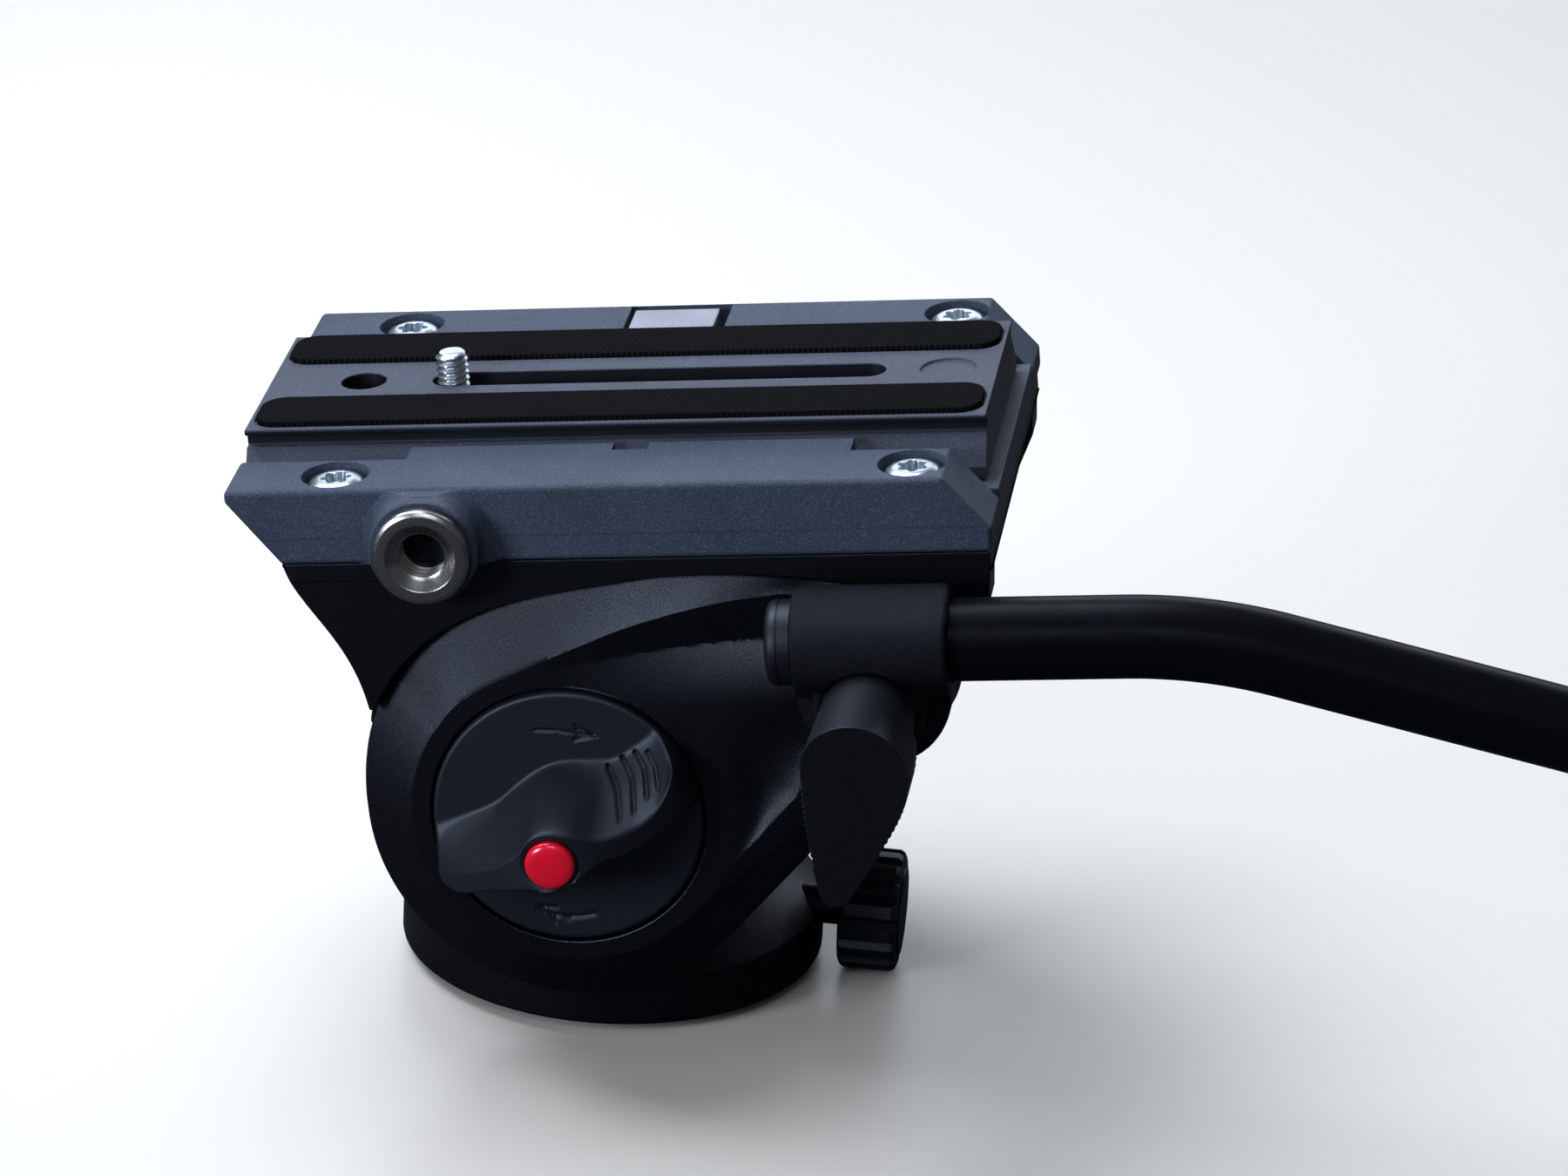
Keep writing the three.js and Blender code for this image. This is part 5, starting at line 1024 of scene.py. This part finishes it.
piece("jaw", bevel(jaw(), 0.35, 3), "jaw", "jaw", ["clamp_jaw"])


def lock_lever():
    drop = radians(13.8)
    points = arc(0, 0, 6, 90, 270, 32) + arc(65, -7, 3, 270, 360, 10) + arc(65, 7, 3, 0, 90, 10)
    points = [(x * cos(drop) + z * sin(drop), -x * sin(drop) + z * cos(drop))
              for x, z in points]
    body = shift(bevel(mirror_y(slab(points, 5.5, 0)), 1.4, 4), 0, 49, 0)
    return at_lock(cut(body, along_y(cylinder(BOLT_R, 44, 51.8, 32))))


piece("lock_lever", lock_lever(), "plate_lock", "smooth_black", ["plate_lock_lever"])
button = turned([(0, 39.2), (3.5, 39.2), (3.5, 49.7), (3.35, 50.05), (3.0, 50.2), (0, 50.2)], 48)
piece("red_button", at_button(along_y(button)), "button", "red", ["safety_button"])

# Pan bar: it runs straight out of the clamp, bends down and runs straight again

BAR_R, BAR_BORE, PLUG_R, GRIP_R = 7.7, 6.4, 6.1, 11.5
CLAMP_FACE = BOSS_FACE + GAP + 0.9
BAR_OUT = CLAMP_FACE + 10.4
BAR_UP = BOSS_Z + 11.3
CLAMP_FRONT = BOSS_X - 13.6
BEND = radians(17)
STRAIGHT, BEND_R, TAIL = 60.6, 100.0, 225.0
ARC = BEND_R * BEND
BAR_LENGTH = STRAIGHT + ARC + TAIL
GRIP_END = BAR_LENGTH + 4
GRIP_START = GRIP_END - 105


def station(distance):
    """Where the bar's middle line is at a distance from the clamp: x, z and how far it points down."""
    if distance <= STRAIGHT:
        return CLAMP_FRONT + distance, BAR_UP, 0.0
    if distance <= STRAIGHT + ARC:
        a = (distance - STRAIGHT) / BEND_R
        return CLAMP_FRONT + STRAIGHT + BEND_R * sin(a), BAR_UP - BEND_R * (1 - cos(a)), a
    rest = distance - STRAIGHT - ARC
    return (CLAMP_FRONT + STRAIGHT + BEND_R * sin(BEND) + rest * cos(BEND),
            BAR_UP - BEND_R * (1 - cos(BEND)) - rest * sin(BEND), BEND)


def rod(steps, n=64):
    """A round body along the bar's middle line from steps of (distance, radius)."""
    rings_at = []
    for distance, radius in steps:
        x, z, a = station(distance)
        points = []
        for i in range(n):
            t = 2 * pi * i / n
            along, high = polar(radius, t)
            points.append((x + high * sin(a), -BAR_OUT + along, z + high * cos(a)))
        rings_at.append(points)
    return loft(rings_at)


bends = [STRAIGHT + ARC * i / 20 for i in range(21)]
tube = cut(rod([(s, BAR_R) for s in (0, *bends, BAR_LENGTH)]),
           rod([(s, BAR_BORE) for s in (-5, *bends, BAR_LENGTH + 5)]))
piece("bar_tube", bevel(tube, 0.25, 2), "bar", "bar", ["pan_bar"])
plug = join(rod([(-5, 6.4), (-4.9, 6.95), (-4.6, 7.45), (-4.1, 7.8), (-3.5, 7.97), (-2.8, 8), (-2.7, 7.8),
                 (-2.5, 7.8), (-2.4, 8), (-0.3, 8)]), rod([(-0.6, PLUG_R), (8, PLUG_R)]))
piece("bar_plug", plug, "bar", "smooth_black", ["bar_end_plug"])
grip_steps = [(GRIP_START, 9.6), (GRIP_START + 0.5, 10.6), (GRIP_START + 1.6, 11.3), (GRIP_START + 3, GRIP_R)]
grip = cut(rod(grip_steps + [(GRIP_END, GRIP_R)]), rod([(GRIP_START - 5, 8), (BAR_LENGTH + 9, 8)]))
piece("foam_grip", grip, "bar", "grip", ["bar_grip"])
CAP_LOW = GRIP_END + GAP
end_cap = join(rod([(CAP_LOW, GRIP_R), (CAP_LOW + 3, GRIP_R), (CAP_LOW + 4.2, 10.9), (CAP_LOW + 5, 9.5)]),
               rod([(BAR_LENGTH + GAP, BAR_R), (CAP_LOW + GAP, BAR_R)]),
               rod([(BAR_LENGTH - 8, PLUG_R), (BAR_LENGTH + 0.6, PLUG_R)]))
piece("grip_cap", end_cap, "bar", "smooth_black", ["grip_end_cap"])


def soften(thing):
    """Fuses the shapes of a moulding and rounds where they meet."""
    remesh = thing.modifiers.new("remesh", "REMESH")
    remesh.mode = "VOXEL"
    remesh.voxel_size = 0.5
    relax = thing.modifiers.new("relax", "SMOOTH")
    relax.factor = 0.5
    relax.iterations = 6
    bpy.context.view_layer.update()
    return apply(thing)


def clamp():
    hub = on_boss(along_minus_y(cylinder(14.4, CLAMP_FACE, CLAMP_FACE + 10)))
    neck = on_boss(along_minus_y(cylinder(10.4, CLAMP_FACE + 5, CLAMP_FACE + 18.3)))
    body = rod([(0, 9.6), (0.3, 10.1), (0.9, 10.4), (28.1, 10.4), (28.7, 10.1), (29, 9.6)])
    body = cut(body, space(y=(-(COVER_FAR + 0.5), FAR)))
    body = soften(join(hub, neck, body))
    lever_seat = on_boss(along_minus_y(cylinder(9.3, CLAMP_FACE + 18.0, CLAMP_FACE + 30)))
    bolt = on_boss(along_minus_y(cylinder(BOLT_R, CLAMP_FACE - 5, CLAMP_FACE + 30, 32)))
    return cut(body, rod([(-5, 8.0), (34, 8.0)]), lever_seat, bolt, space(y=(-CLAMP_FACE, FAR)))


piece("bar_clamp", clamp(), "bar", "clamp", ["pan_bar_clamp"], angle=40)


def notched(points):
    """Side points with small grip notches between two heights."""
    out = []
    for x, z in points:
        if -21 < z < -2:
            x -= copysign(0.45 * (0.5 - 0.5 * cos(2 * pi * z / 1.3)), x + 4)
        out.append((x, z))
    return out


def lever():
    hub = along_minus_y(turned([(0, 0), (8.5, 0), (8.7, 0.25), (9.6, 30), (0, 30)], 96))
    outline = notched(bezier((-7.4, 4.2), (-10.9, 3.4), (-10.9, -9), (-8.9, -26), 130))
    outline += bezier((-8.9, -26), (-8.4, -30.2), (-4.6, -30.6), (-2.4, -27.2), 12)[1:]
    outline += notched(bezier((-2.4, -27.2), (5.0, -15.8), (11.6, -8), (10.3, 0.0), 130))[1:]
    outline += bezier((10.3, 0.0), (9.9, 2.4), (9.2, 3.6), (7.4, 4.2), 8)[1:]
    wing = slab([(x * 0.96, z) for x, z in outline], 18.5, -10.5)
    lean, face_y, face_z = 10, -26.5, 9.6  # of the sloping front
    front = shift(turn(space(y=(-FAR, 0)), lean, "X"), 0, face_y, face_z)
    across, up = cos(radians(lean)), sin(radians(lean))

    def on_front(a, b):
        return all(abs((p.y - face_y) * across + (p.z - face_z) * up) < 0.02 for p in (a, b))

    body = bevel(cut(join(hub, wing), front), 0.28, 2, pick=on_front)
    return shift(cut(body, along_minus_y(cylinder(BOLT_R, -5, 22, 32))), BOSS_X, -(CLAMP_FACE + 18.6), BOSS_Z)


piece("bar_lever", lever(), "bar_lever", "smooth_black", ["pan_bar_lever"])

# Nodes that stay as they are get a finish

CARRIED = {
    "smooth_black": ["tilt_drag_drum", "pan_drag_ring"],
    "steel": ["pan_spindle", "spindle_nut", "lower_pan_bearing", "upper_pan_bearing", "left_tilt_bearing",
              "right_tilt_bearing", "counterbalance_spring", "pan_lock_screw", "left_rosette", "right_rosette",
              "clamp_bolt", "tilt_axle", "tilt_lock_screw", "screw_washer", "lock_lever_screw"],
    "brass": ["thrust_washer", "pan_brake_shoe", "tilt_brake_pad"],
}
for finish, names in CARRIED.items():
    for name in names:
        node = frame["nodes"][name]
        node.data.materials.clear()
        node.data.materials.append(MAT[finish])

# Floor

floor = make([(-30, -30, 0), (30, -30, 0), (30, 30, 0), (-30, 30, 0)], [(0, 1, 2, 3)], "floor")
floor_material = bpy.data.materials.new("floor")
floor_material.use_nodes = True
floor_tree = floor_material.node_tree
pale = set_inputs(floor_tree.nodes["Principled BSDF"], Base_Color=(0.86, 0.81, 0.74, 1), Roughness=0.35)
dim = new_node(floor_tree, "BsdfDiffuse", Color=(0.05, 0.05, 0.055, 1))
floor_out = floor_tree.nodes["Material Output"]
floor_tree.links.new(camera_split(floor_tree, dim, pale), floor_out.inputs["Surface"])
floor.data.materials.append(floor_material)
